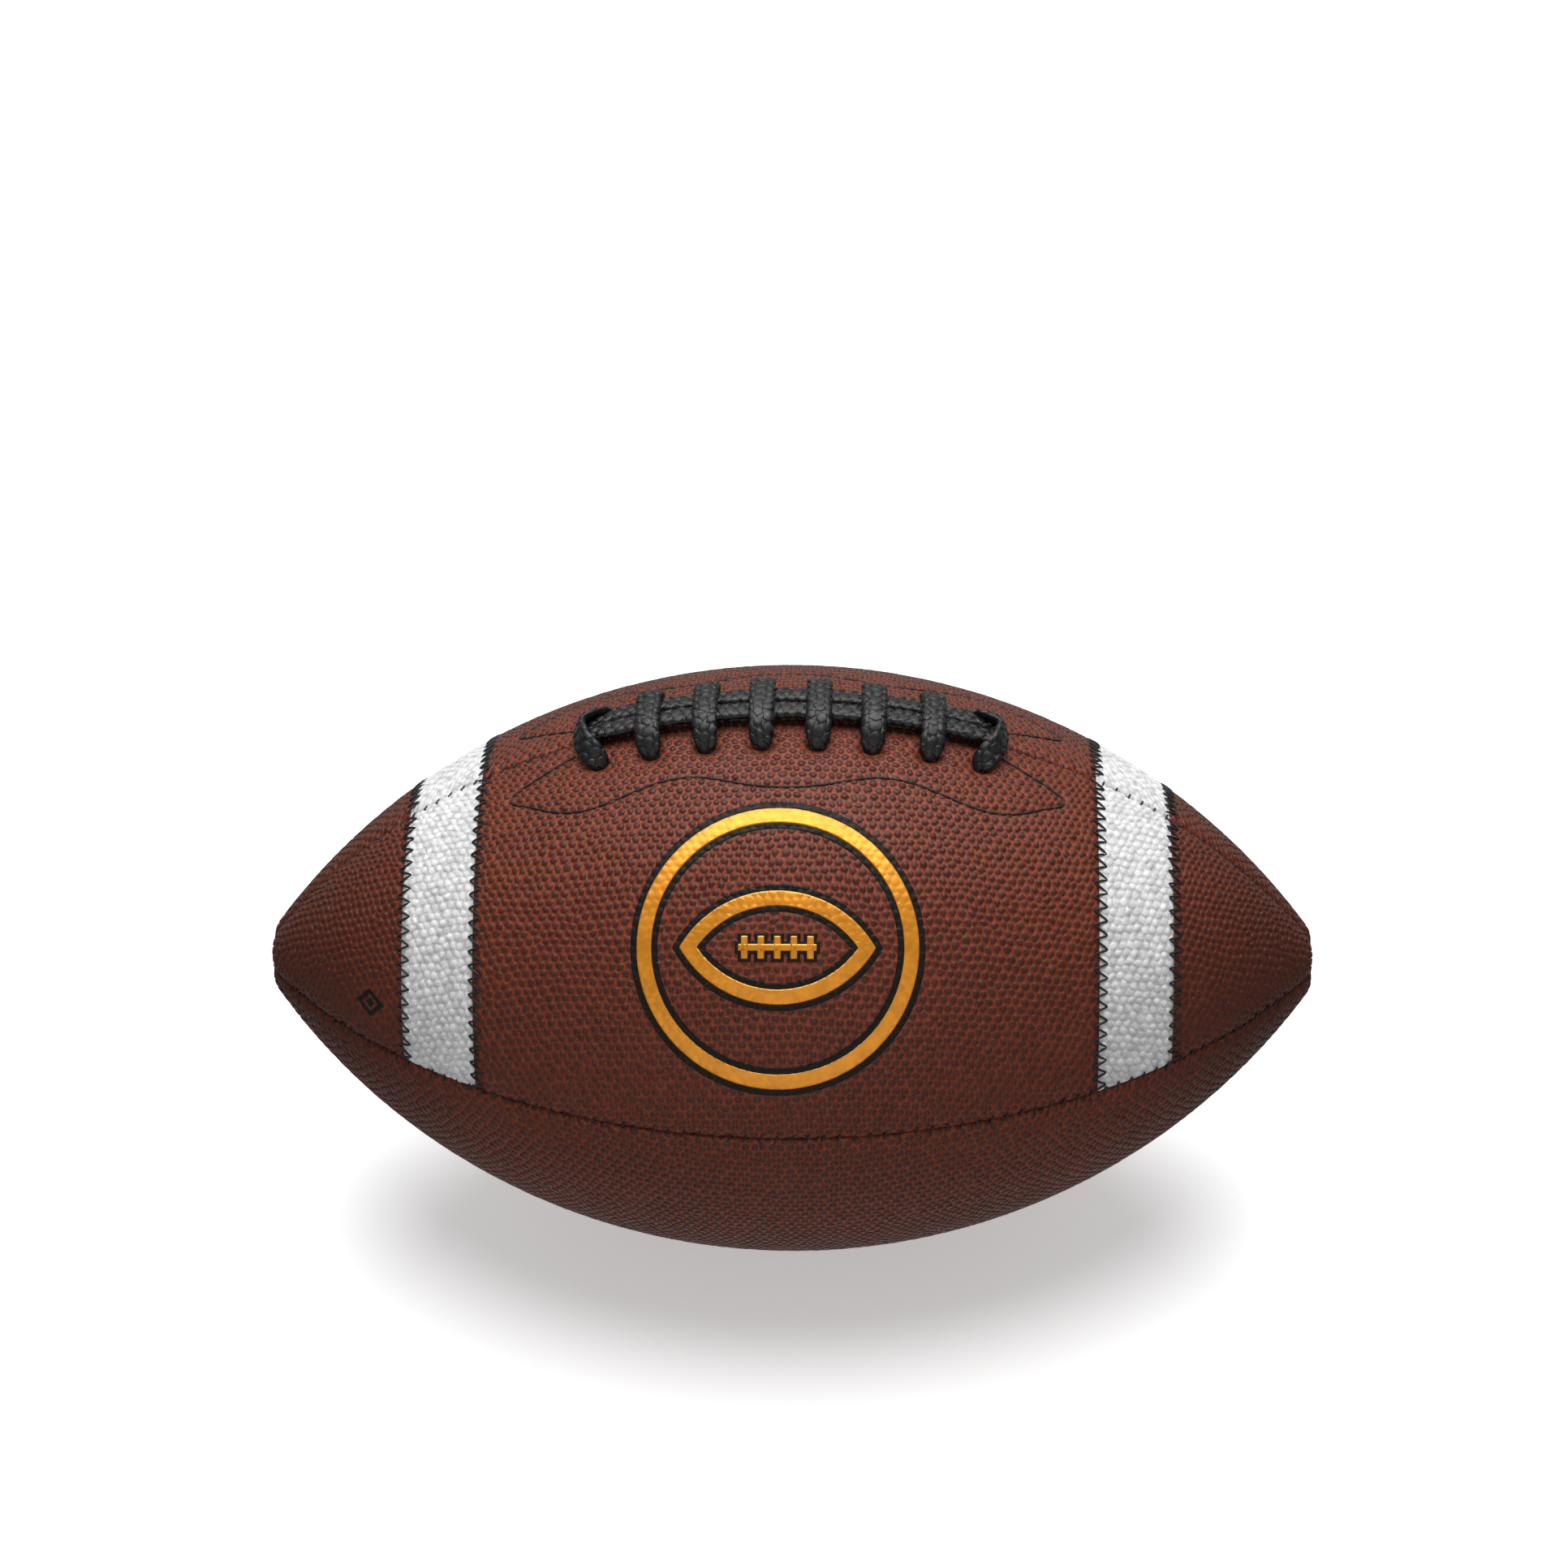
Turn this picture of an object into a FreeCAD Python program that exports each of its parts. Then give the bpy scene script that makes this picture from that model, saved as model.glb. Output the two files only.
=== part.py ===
"""American football: four sewn cover panels over linings and a bladder, with stripes, lace and valve.

The long axis lies along X and the lace seam is on top. The origin is on the floor under the centre.
Every body is drawn about the ball's long axis and is then raised by the ball's radius.
Angles round the long axis are counted from the lace seam towards the front (-Y).
"""
import FreeCAD, Part
import math
import os
import Sketcher
from FreeCAD import Placement, Rotation, Vector

SIZES = [
    # overall form
    ("ball_length", 282.0),
    ("ball_diameter", 158.5),
    ("nose_width", 14.0),
    ("nose_cap_radius", 60.0),
    ("nose_corner_radius", 8.0),
    ("nose_opening", 2.0),
    # walls and the clearances between them
    ("cover_thickness", 2.4),
    ("lining_thickness", 2.4),
    ("bladder_wall", 1.2),
    ("layer_gap", 0.1),
    ("seam_gap", 0.3),
    # seam channel and thread
    ("channel_width", 2.2),
    ("channel_depth", 0.7),
    ("thread_diameter", 0.6),
    ("seam_reach", 127.0),
    ("lace_seam_start", 62.0),
    # stripes
    ("stripe_start", 81.0),
    ("stripe_width", 20.0),
    ("stripe_thickness", 0.8),
    ("stripe_clearance", 0.05),
    ("zigzag_width", 3.6),
    ("zigzag_pitch", 3.7),
    ("zigzag_thread", 0.5),
    # lacing
    ("lace_count", 8),
    ("lace_pitch", 14.2),
    ("lace_width", 6.7),
    ("strand_width", 6.2),
    ("strand_thickness", 2.1),
    ("strand_gap", 0.4),
    ("strand_overhang", 4.0),
    ("cross_height", 4.3),
    ("cross_reach", 15.7),
    ("slot_distance", 14.4),
    ("leg_thickness", 2.0),
    ("leg_width", 6.0),
    ("slot_clearance", 0.3),
    ("lace_run", 1.1),
    # facing and tongue behind the lacing
    ("facing_thickness", 1.0),
    ("facing_length", 150.0),
    ("facing_width", 30.0),
    ("tongue_width", 20.0),
    ("topstitch_length", 3.0),
    ("topstitch_gap", 0.7),
    ("topstitch_thread", 0.45),
    # valve
    ("valve_angle", 45.0),
    ("stem_diameter", 9.0),
    ("stem_recess", 0.6),
    ("flange_diameter", 20.0),
    ("flange_thickness", 1.6),
    ("plug_diameter", 5.0),
    ("plug_length", 6.8),
    ("air_passage", 3.0),
    ("needle_bore", 2.2),
    ("needle_depth", 6.0),
    ("fit_clearance", 0.1),
    # printed marks
    ("foil_thickness", 0.3),
    ("mark_gap", 0.05),
    ("emblem_margin", 4.0),
    ("emblem_offset", 1.5),
    ("emblem_diameter", 72.0),
    ("emblem_stroke", 3.8),
    ("emblem_outline", 1.6),
    ("badge_length", 50.0),
    ("badge_height", 29.0),
    ("mark_angle", 71.5),
    ("mark_offset", 110.0),
    ("mark_size", 8.0),
]

doc = FreeCAD.newDocument("football")
sheet = doc.addObject("Spreadsheet::Sheet", "dims")
for row, (alias, size) in enumerate(SIZES, start=1):
    sheet.set(f"A{row}", alias)
    sheet.set(f"B{row}", str(size))
    sheet.setAlias(f"B{row}", alias)
doc.recompute()

# Formulas in the sheet's aliases, shared by the bodies.
HALF_LENGTH = "(dims.ball_length / 2)"
RADIUS = "(dims.ball_diameter / 2)"
BELLY_SAG = "((dims.ball_diameter - dims.nose_width) / 2)"
BELLY = f"(({HALF_LENGTH}^2 + {BELLY_SAG}^2) / (2 * {BELLY_SAG}))"
BELLY_DROP = f"({BELLY} - {RADIUS})"
GAP_ANGLE = f"asin(dims.seam_gap / 2 / {RADIUS})"

SURFACE = "0"
COVER_IN = "dims.cover_thickness"
LINING_OUT = f"({COVER_IN} + dims.layer_gap)"
LINING_IN = f"({LINING_OUT} + dims.lining_thickness)"
FACING_IN = f"({LINING_OUT} + dims.facing_thickness)"
RUN_OUT = f"({FACING_IN} + 3 * dims.layer_gap)"
RUN_IN = f"({RUN_OUT} + dims.lace_run)"
BLADDER_OUT = f"(max({LINING_IN}; {RUN_IN}) + dims.layer_gap)"
BLADDER_IN = f"({BLADDER_OUT} + dims.bladder_wall)"

BODIES = []


CHANNEL_RADIUS = "((dims.channel_width^2 / 4 + dims.channel_depth^2) / (2 * dims.channel_depth))"
THREAD_DEPTH = "(dims.channel_depth - dims.thread_diameter / 2 - dims.layer_gap / 2)"
PITCH_ANGLE = f"(dims.lace_pitch / {BELLY} * 180 deg / pi)"
FIRST_CROSS = f"(-(dims.lace_count - 1) / 2 * {PITCH_ANGLE})"
LACE_HALF = "((dims.lace_count - 1) / 2 * dims.lace_pitch + dims.strand_overhang)"
STEM_TOP = f"({RADIUS} - dims.stem_recess)"
PLUG_BOTTOM = f"({STEM_TOP} - dims.plug_length)"
FLANGE_TOP = f"(sqrt(({RADIUS} - {BLADDER_IN})^2 - (dims.flange_diameter / 2)^2) - dims.layer_gap)"
STEM_HOLE = "(dims.stem_diameter / 2 + dims.fit_clearance)"


def arc_angle(width):
    """The angle round the long axis of a width measured on the cover at the middle."""
    return f"({width} / {RADIUS} * 180 deg / pi)"


def number(formula):
    """The value of a formula in the sheet's aliases, angles in degrees."""
    result = sheet.evalExpression(str(formula))
    return float(getattr(result, "Value", result))


def new_body(label):
    """A body whose own origin is on the ball's long axis."""
    body = doc.addObject("PartDesign::Body", label)
    body.Label = label
    body.setExpression("Placement.Base.z", RADIUS)
    BODIES.append(body)
    return body


def origin_feature(body, role):
    """The body's own origin plane or axis that has this role."""
    for feature in body.Origin.OriginFeatures:
        if feature.Role == role:
            return feature
    raise ValueError(f"{body.Label} has no {role}")


class Drawing:
    """A sketch on one of its body's origin planes, with the constraints this model uses."""

    def __init__(self, body, name, role):
        self.sketch = body.newObject("Sketcher::SketchObject", f"{body.Name}_{name}")
        self.sketch.AttachmentSupport = [(origin_feature(body, role), "")]
        self.sketch.MapMode = "FlatFace"

    def turn(self, axis, formula):
        """Turn the drawing about one of its own axes, by a formula in degrees."""
        self.sketch.AttachmentOffset = Placement(Vector(), Rotation(axis, number(formula)))
        self.sketch.setExpression("AttachmentOffset.Rotation.Angle", formula)

    def shift(self, direction, formula):
        """Move the drawing's origin along x, y or z of its plane."""
        self.sketch.setExpression(f"AttachmentOffset.Base.{direction}", formula)

    def bind(self, kind, places, formula):
        """Add a driving size and bind it to its formula."""
        value = number(formula)
        index = self.sketch.addConstraint(Sketcher.Constraint(kind, *places, value))
        self.sketch.setExpression(f"Constraints[{index}]", formula)

    def relate(self, kind, *places):
        """Add a constraint that has no size."""
        self.sketch.addConstraint(Sketcher.Constraint(kind, *places))

    def line(self, start, end):
        return self.sketch.addGeometry(Part.LineSegment(Vector(*start, 0), Vector(*end, 0)), False)

    def arc(self, centre, radius, start_angle, end_angle):
        circle = Part.Circle(Vector(*centre, 0), Vector(0, 0, 1), radius)
        return self.sketch.addGeometry(Part.ArcOfCircle(circle, start_angle, end_angle), False)

    def circle(self, centre, radius):
        return self.sketch.addGeometry(Part.Circle(Vector(*centre, 0), Vector(0, 0, 1), radius), False)

    def right_of_origin(self, geometry, point, formula):
        self.bind("DistanceX", (-1, 1, geometry, point), formula)

    def left_of_origin(self, geometry, point, formula):
        self.bind("DistanceX", (geometry, point, -1, 1), formula)

    def above_origin(self, geometry, point, formula):
        self.bind("DistanceY", (-1, 1, geometry, point), formula)

    def below_origin(self, geometry, point, formula):
        self.bind("DistanceY", (geometry, point, -1, 1), formula)

    def polygon(self, corners):
        """A closed outline whose corners are pairs of formulas, all bound."""
        points = [(number(across), number(up)) for across, up in corners]
        lines = [self.line(points[i], points[(i + 1) % len(points)]) for i in range(len(points))]
        for i, line in enumerate(lines):
            self.relate("Coincident", line, 2, lines[(i + 1) % len(lines)], 1)
        for line, (across, up), (x, y) in zip(lines, corners, points):
            if x == 0:
                self.relate("PointOnObject", line, 1, -2)
            elif x > 0:
                self.right_of_origin(line, 1, across)
            else:
                self.left_of_origin(line, 1, f"-({across})")
            if y == 0:
                self.relate("PointOnObject", line, 1, -1)
            elif y > 0:
                self.above_origin(line, 1, up)
            else:
                self.below_origin(line, 1, f"-({up})")
        return lines

    def round_outline(self, radius):
        """A circle about the drawing's origin."""
        circle = self.circle((0, 0), number(radius))
        self.relate("Coincident", circle, 3, -1, 1)
        self.bind("Radius", (circle,), radius)

    def lens_outline(self, length, height, margin):
        """Two arcs that meet on the drawing's own axis, grown by a margin all round."""
        half, rise = f"({length} / 2)", f"({height} / 2)"
        radius = f"(({half}^2 + {rise}^2) / (2 * {rise}))"
        reach = number(radius) + number(margin)
        centre = number(radius) - number(rise)
        swing = math.acos(centre / reach)
        upper = self.arc((0, -centre), reach, math.pi / 2 - swing, math.pi / 2 + swing)
        lower = self.arc((0, centre), reach, -math.pi / 2 - swing, -math.pi / 2 + swing)
        self.relate("Coincident", upper, 2, lower, 1)
        self.relate("Coincident", upper, 1, lower, 2)
        self.relate("PointOnObject", upper, 3, -2)
        self.relate("PointOnObject", lower, 3, -2)
        self.below_origin(upper, 3, f"{radius} - {rise}")
        self.above_origin(lower, 3, f"{radius} - {rise}")
        self.bind("Radius", (upper,), f"{radius} + {margin}")
        self.bind("Radius", (lower,), f"{radius} + {margin}")


START, END, CENTRE = 1, 2, 3
ABOUT_X, ABOUT_Z = Vector(1, 0, 0), Vector(0, 0, 1)


def meridian(depth):
    """Centres, radii and angles of one wall's outline at a depth under the surface, right half."""
    belly = number(BELLY)
    cap = number("dims.nose_cap_radius")
    corner = number("dims.nose_corner_radius")
    belly_centre = Vector(0, -number(BELLY_DROP))
    cap_centre = Vector(number(HALF_LENGTH) - cap, 0)
    span = cap_centre - belly_centre
    reach_belly = belly - corner
    reach_cap = cap - corner
    along = (reach_belly**2 - reach_cap**2 + span.Length**2) / (2 * span.Length)
    beside = math.sqrt(reach_belly**2 - along**2)
    unit = Vector(span).normalize()
    corner_centre = belly_centre + unit * along + Vector(unit.y, -unit.x) * beside
    to_cap = corner_centre - cap_centre
    to_belly = corner_centre - belly_centre
    return {
        "belly": (belly_centre, belly - depth),
        "cap": (cap_centre, cap - depth),
        "corner": (corner_centre, corner - depth),
        "cap_end": math.atan2(to_cap.y, to_cap.x),
        "corner_end": math.atan2(to_belly.y, to_belly.x),
    }


def half_outline(drawing, depth, pole):
    """The five tangent arcs of one wall surface, right to left, bound to the sheet."""
    shape = meridian(number(depth))
    pole_radius = number(pole)
    cap_centre, cap = shape["cap"]
    corner_centre, corner = shape["corner"]
    belly_centre, belly = shape["belly"]
    pole_angle = math.asin(pole_radius / cap)
    cap_end, corner_end = shape["cap_end"], shape["corner_end"]
    arcs = [
        drawing.arc((cap_centre.x, 0), cap, pole_angle, cap_end),
        drawing.arc((corner_centre.x, corner_centre.y), corner, cap_end, corner_end),
        drawing.arc((0, belly_centre.y), belly, corner_end, math.pi - corner_end),
        drawing.arc((-corner_centre.x, corner_centre.y), corner, math.pi - corner_end, math.pi - cap_end),
        drawing.arc((-cap_centre.x, 0), cap, math.pi - cap_end, math.pi - pole_angle),
    ]
    for before, after in zip(arcs, arcs[1:]):
        drawing.relate("Tangent", before, END, after, START)
    right_cap, right_corner, middle, left_corner, left_cap = arcs
    drawing.relate("PointOnObject", middle, CENTRE, -2)
    drawing.below_origin(middle, CENTRE, BELLY_DROP)
    drawing.bind("Radius", (middle,), f"{BELLY} - {depth}")
    for cap_arc, place in ((right_cap, drawing.right_of_origin), (left_cap, drawing.left_of_origin)):
        drawing.relate("PointOnObject", cap_arc, CENTRE, -1)
        place(cap_arc, CENTRE, f"{HALF_LENGTH} - dims.nose_cap_radius")
        drawing.bind("Radius", (cap_arc,), f"dims.nose_cap_radius - {depth}")
    for corner_arc in (right_corner, left_corner):
        drawing.bind("Radius", (corner_arc,), f"dims.nose_corner_radius - {depth}")
    if pole_radius > 0:
        drawing.above_origin(right_cap, START, pole)
        drawing.above_origin(left_cap, END, pole)
    else:
        drawing.relate("PointOnObject", right_cap, START, -1)
        drawing.relate("PointOnObject", left_cap, END, -1)
    return arcs


def wall_drawing(body, name, outer, inner, pole, start):
    """The outline of a wall between two depths, in the half plane at the start angle."""
    drawing = Drawing(body, name, "XZ_Plane")
    drawing.turn(ABOUT_X, start)
    outside = half_outline(drawing, outer, pole)
    inside = half_outline(drawing, inner, pole)
    for outside_arc, inside_arc, point in ((outside[0], inside[0], START), (outside[-1], inside[-1], END)):
        place = drawing.sketch.getPoint(outside_arc, point)
        other = drawing.sketch.getPoint(inside_arc, point)
        tip = drawing.line((place.x, place.y), (other.x, other.y))
        drawing.relate("Coincident", tip, START, outside_arc, point)
        drawing.relate("Coincident", tip, END, inside_arc, point)
    return drawing


def band_drawing(body, name, outer, inner, start_x, end_x, start):
    """The outline of a strip of wall between two depths and two places along the long axis."""
    drawing = Drawing(body, name, "XZ_Plane")
    drawing.turn(ABOUT_X, start)
    drop = number(BELLY_DROP)
    arcs = []
    for depth in (outer, inner):
        radius = number(BELLY) - number(depth)
        arcs.append(drawing.arc((0, -drop), radius, math.acos(number(end_x) / radius),
                                math.acos(number(start_x) / radius)))
    for arc, depth in zip(arcs, (outer, inner)):
        drawing.relate("PointOnObject", arc, CENTRE, -2)
        drawing.below_origin(arc, CENTRE, BELLY_DROP)
        drawing.bind("Radius", (arc,), f"{BELLY} - {depth}")
        for point, formula in ((START, end_x), (END, start_x)):
            if number(formula) >= 0:
                drawing.right_of_origin(arc, point, formula)
            else:
                drawing.left_of_origin(arc, point, f"-({formula})")
    for point in (START, END):
        place = drawing.sketch.getPoint(arcs[0], point)
        other = drawing.sketch.getPoint(arcs[1], point)
        edge = drawing.line((place.x, place.y), (other.x, other.y))
        drawing.relate("Coincident", edge, START, arcs[0], point)
        drawing.relate("Coincident", edge, END, arcs[1], point)
    return drawing


def revolve(body, kind, name, drawing, angle, axis="H_Axis", both_ways=False):
    """Turn a drawing about one of its own axes."""
    feature = body.newObject(f"PartDesign::{kind}", f"{body.Name}_{name}")
    feature.Profile = drawing.sketch
    feature.ReferenceAxis = (drawing.sketch, [axis])
    feature.Midplane = both_ways
    feature.setExpression("Angle", angle)
    drawing.sketch.Visibility = False
    return feature


def extrude(body, kind, name, drawing, length, both_ways=True):
    """Pad or cut a drawing equally to both sides of its plane, or outwards only."""
    feature = body.newObject(f"PartDesign::{kind}", f"{body.Name}_{name}")
    feature.Profile = drawing.sketch
    feature.Midplane = both_ways
    feature.Reversed = kind == "Pocket" and not both_ways
    feature.setExpression("Length", length)
    drawing.sketch.Visibility = False
    return feature


def repeat(body, name, features, drawing, angle, count):
    """Repeat features about the drawing's own horizontal axis."""
    pattern = body.newObject("PartDesign::PolarPattern", f"{body.Name}_{name}")
    pattern.Originals = features
    pattern.Axis = (drawing.sketch, ["H_Axis"])
    pattern.setExpression("Angle", angle)
    pattern.setExpression("Occurrences", count)
    body.Tip = pattern
    return pattern


def wall_body(label, outer, inner, pole, start, angle):
    body = new_body(label)
    revolve(body, "Revolution", "wall", wall_drawing(body, "outline", outer, inner, pole, start), angle)
    return body


QUARTER = f"(90 deg - 2 * {GAP_ANGLE})"
POLE = "(dims.nose_opening / 2)"
CROSSING = f"(2 * {RADIUS})"


def seam_frame(drawing, quarters):
    """Put a cross drawing's origin on a seam's belly centre, with its y axis out through the seam."""
    angle = 90 * quarters
    drawing.turn(ABOUT_Z, f"{angle} deg")
    drawing.shift("x", f"{round(math.sin(math.radians(angle)))} * {BELLY_DROP}")
    drawing.shift("y", f"{-round(math.cos(math.radians(angle)))} * {BELLY_DROP}")


def lace_frame(drawing, tilt):
    """Put a cross drawing's origin on the lace seam's belly centre, tilted along the seam."""
    drawing.turn(ABOUT_X, tilt)
    drawing.shift("y", f"-{BELLY_DROP}")


def cut_seam_channel(body, name, quarters):
    """Cut the shallow round channel that runs along one seam of a cover panel."""
    drawing = Drawing(body, f"{name}_section", "YZ_Plane")
    seam_frame(drawing, quarters)
    height = f"({BELLY} + {CHANNEL_RADIUS} - dims.channel_depth)"
    circle = drawing.circle((0, number(height)), number(CHANNEL_RADIUS))
    drawing.relate("PointOnObject", circle, CENTRE, -2)
    drawing.above_origin(circle, CENTRE, height)
    drawing.bind("Radius", (circle,), CHANNEL_RADIUS)
    revolve(body, "Groove", name, drawing, f"2 * asin(dims.seam_reach / {BELLY})", both_ways=True)


def cut_stripe_bed(body, name, side, start):
    """Cut the shallow bed that a stripe is let into, across the whole panel."""
    near, far = f"({side} * dims.stripe_start)", f"({side} * (dims.stripe_start + dims.stripe_width))"
    first, last = (near, far) if side > 0 else (far, near)
    drawing = band_drawing(body, f"{name}_outline", "(-dims.stripe_thickness)", "dims.stripe_thickness",
                           first, last, start)
    revolve(body, "Groove", name, drawing, "90 deg")


def leg_corners(side, thickness, top, bottom):
    """A radial strip through the wall at the lace slots, as four corners."""
    angle = arc_angle("dims.slot_distance")
    half = f"({thickness} / 2)"
    corners = []
    for height, shift in ((top, half), (bottom, half), (bottom, f"-{half}"), (top, f"-{half}")):
        across = f"({side} * ({height} * sin({angle}) + {shift} * cos({angle})))"
        up = f"({BELLY_DROP} + {height} * cos({angle}) - {shift} * sin({angle}))"
        corners.append((across, up))
    return corners


def cut_lace_slots(body, side):
    """Cut one row of lace slots through a panel or a facing."""
    drawing = Drawing(body, "slot_section", "YZ_Plane")
    lace_frame(drawing, FIRST_CROSS)
    top = f"({RADIUS} + dims.cover_thickness)"
    bottom = f"({RADIUS} - {FACING_IN} - dims.layer_gap)"
    drawing.polygon(leg_corners(side, "(dims.leg_thickness + 2 * dims.slot_clearance)", top, bottom))
    slot = extrude(body, "Pocket", "slot", drawing, "dims.leg_width + 2 * dims.slot_clearance")
    repeat(body, "slots", [slot], drawing, f"(dims.lace_count - 1) * {PITCH_ANGLE}", "dims.lace_count")


def cut_valve_hole(body):
    """Cut the round hole that the valve stem passes through, outwards from the long axis."""
    drawing = Drawing(body, "valve_hole_outline", "XY_Plane")
    drawing.turn(ABOUT_X, "-dims.valve_angle * 1 deg")
    drawing.round_outline(STEM_HOLE)
    extrude(body, "Pocket", "valve_hole", drawing, RADIUS, both_ways=False)


# Cover panels and their linings: (name, first seam in quarter turns, lace side, or 0 for none).
FRONT, REAR = -1, 1
QUARTERS = [("front_upper", 0, FRONT), ("front_lower", 1, 0), ("rear_lower", 2, 0), ("rear_upper", 3, REAR)]
FACING_ANGLE = arc_angle("dims.facing_width")
FACING_END = "(dims.facing_length / 2)"


def panel_start(quarters):
    return f"({90 * quarters} deg + {GAP_ANGLE})"


def make_panels():
    for name, quarters, side in QUARTERS:
        body = wall_body(f"{name}_panel", SURFACE, COVER_IN, POLE, panel_start(quarters), QUARTER)
        cut_seam_channel(body, "first_channel", quarters)
        cut_seam_channel(body, "last_channel", quarters + 1)
        if side:
            for place, direction in (("left", -1), ("right", 1)):
                cut_stripe_bed(body, f"{place}_bed", direction, f"{90 * quarters} deg")
            cut_lace_slots(body, side)
        if side == REAR:
            cut_valve_hole(body)


def make_linings():
    for name, quarters, side in QUARTERS:
        body = wall_body(f"{name}_lining", LINING_OUT, LINING_IN, POLE, panel_start(quarters), QUARTER)
        if side:
            end = f"({FACING_END} + dims.layer_gap)"
            angle = f"({FACING_ANGLE} + {GAP_ANGLE})"
            start = "0 deg" if side == FRONT else f"(-{angle})"
            window = band_drawing(body, "window_outline", f"({LINING_OUT} - dims.layer_gap)",
                                  f"({LINING_IN} + dims.layer_gap)", f"(-{end})", end, start)
            revolve(body, "Groove", "window", window, angle)
        if side == REAR:
            cut_valve_hole(body)


def make_facings():
    for name, side in (("front_lace_facing", FRONT), ("rear_lace_facing", REAR)):
        body = new_body(name)
        angle = f"({FACING_ANGLE} - {GAP_ANGLE})"
        start = GAP_ANGLE if side == FRONT else f"(-{FACING_ANGLE})"
        drawing = band_drawing(body, "outline", LINING_OUT, FACING_IN, f"(-{FACING_END})", FACING_END, start)
        revolve(body, "Revolution", "strip", drawing, angle)
        cut_lace_slots(body, side)


def make_tongue():
    body = new_body("lace_tongue")
    width = arc_angle("dims.tongue_width")
    end = f"({FACING_END} - 2 * dims.strand_overhang)"
    drawing = band_drawing(body, "outline", RUN_OUT, RUN_IN, f"(-{end})", end, f"(-{width} / 2)")
    revolve(body, "Revolution", "strip", drawing, width)


def make_lace():
    """One lace: eight crosses over two strands, legs through the slots, and runs behind the facing."""
    body = new_body("lace")
    ball = f"({RADIUS} + dims.layer_gap)"
    drawing = Drawing(body, "cross_section", "YZ_Plane")
    lace_frame(drawing, FIRST_CROSS)
    reach = number("dims.cross_reach")
    axis_height = number(BELLY_DROP)
    low_radius = number(ball)
    low_end = axis_height + math.sqrt(low_radius**2 - reach**2)
    top = number(f"{BELLY} + dims.cross_height")
    rise = top - low_end
    high_radius = (reach**2 + rise**2) / (2 * rise)
    high_swing = math.asin(reach / high_radius)
    low_swing = math.asin(reach / low_radius)
    upright = math.pi / 2
    high = drawing.arc((0, top - high_radius), high_radius, upright - high_swing, upright + high_swing)
    low = drawing.arc((0, axis_height), low_radius, upright - low_swing, upright + low_swing)
    crown = drawing.sketch.addGeometry(Part.Point(Vector(0, top, 0)), True)
    drawing.relate("Coincident", high, START, low, START)
    drawing.relate("Coincident", high, END, low, END)
    drawing.relate("PointOnObject", low, CENTRE, -2)
    drawing.above_origin(low, CENTRE, BELLY_DROP)
    drawing.bind("Radius", (low,), ball)
    drawing.right_of_origin(low, START, "dims.cross_reach")
    drawing.left_of_origin(low, END, "dims.cross_reach")
    drawing.relate("PointOnObject", crown, 1, -2)
    drawing.above_origin(crown, 1, f"{BELLY} + dims.cross_height")
    drawing.relate("PointOnObject", crown, 1, high)
    cross = extrude(body, "Pad", "cross", drawing, "dims.lace_width")
    legs = Drawing(body, "leg_section", "YZ_Plane")
    lace_frame(legs, FIRST_CROSS)
    for side in (FRONT, REAR):
        legs.polygon(leg_corners(side, "dims.leg_thickness", f"({RADIUS} + dims.slot_clearance)",
                                 f"({RADIUS} - {RUN_IN})"))
    leg_pair = extrude(body, "Pad", "legs", legs, "dims.leg_width")
    repeat(body, "crosses", [cross, leg_pair], drawing, f"(dims.lace_count - 1) * {PITCH_ANGLE}",
           "dims.lace_count")
    for name, side in (("front_strand", 1), ("rear_strand", -1)):
        strand = band_drawing(body, f"{name}_outline", "(-dims.layer_gap - dims.strand_thickness)",
                              "(-dims.layer_gap)", f"(-{LACE_HALF})", LACE_HALF, "0 deg")
        strand.shift("z", f"{side} * (dims.strand_width + dims.strand_gap) / 2")
        extrude(body, "Pad", name, strand, "dims.strand_width")
    for name, side, first, fewer in (("front_run", FRONT, 0, 0), ("rear_run", REAR, 1, 1)):
        run = Drawing(body, f"{name}_section", "YZ_Plane")
        lace_frame(run, f"({FIRST_CROSS} + {first} * {PITCH_ANGLE})")
        run.polygon(leg_corners(side, "dims.leg_width", f"({RADIUS} - {RUN_OUT})", f"({RADIUS} - {RUN_IN})"))
        single = revolve(body, "Revolution", name, run, PITCH_ANGLE)
        repeat(body, f"{name}s", [single], run, f"(dims.lace_count - 2 - 2 * {fewer}) * {PITCH_ANGLE}",
               f"dims.lace_count / 2 - {fewer}")


def make_bladder():
    body = wall_body("bladder", BLADDER_OUT, BLADDER_IN, "0", "0 deg", "360 deg")
    cut_valve_hole(body)


def valve_drawing(body):
    """A drawing whose y axis points out through the valve."""
    drawing = Drawing(body, "outline", "XZ_Plane")
    drawing.turn(ABOUT_X, "-dims.valve_angle * 1 deg")
    return drawing


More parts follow.
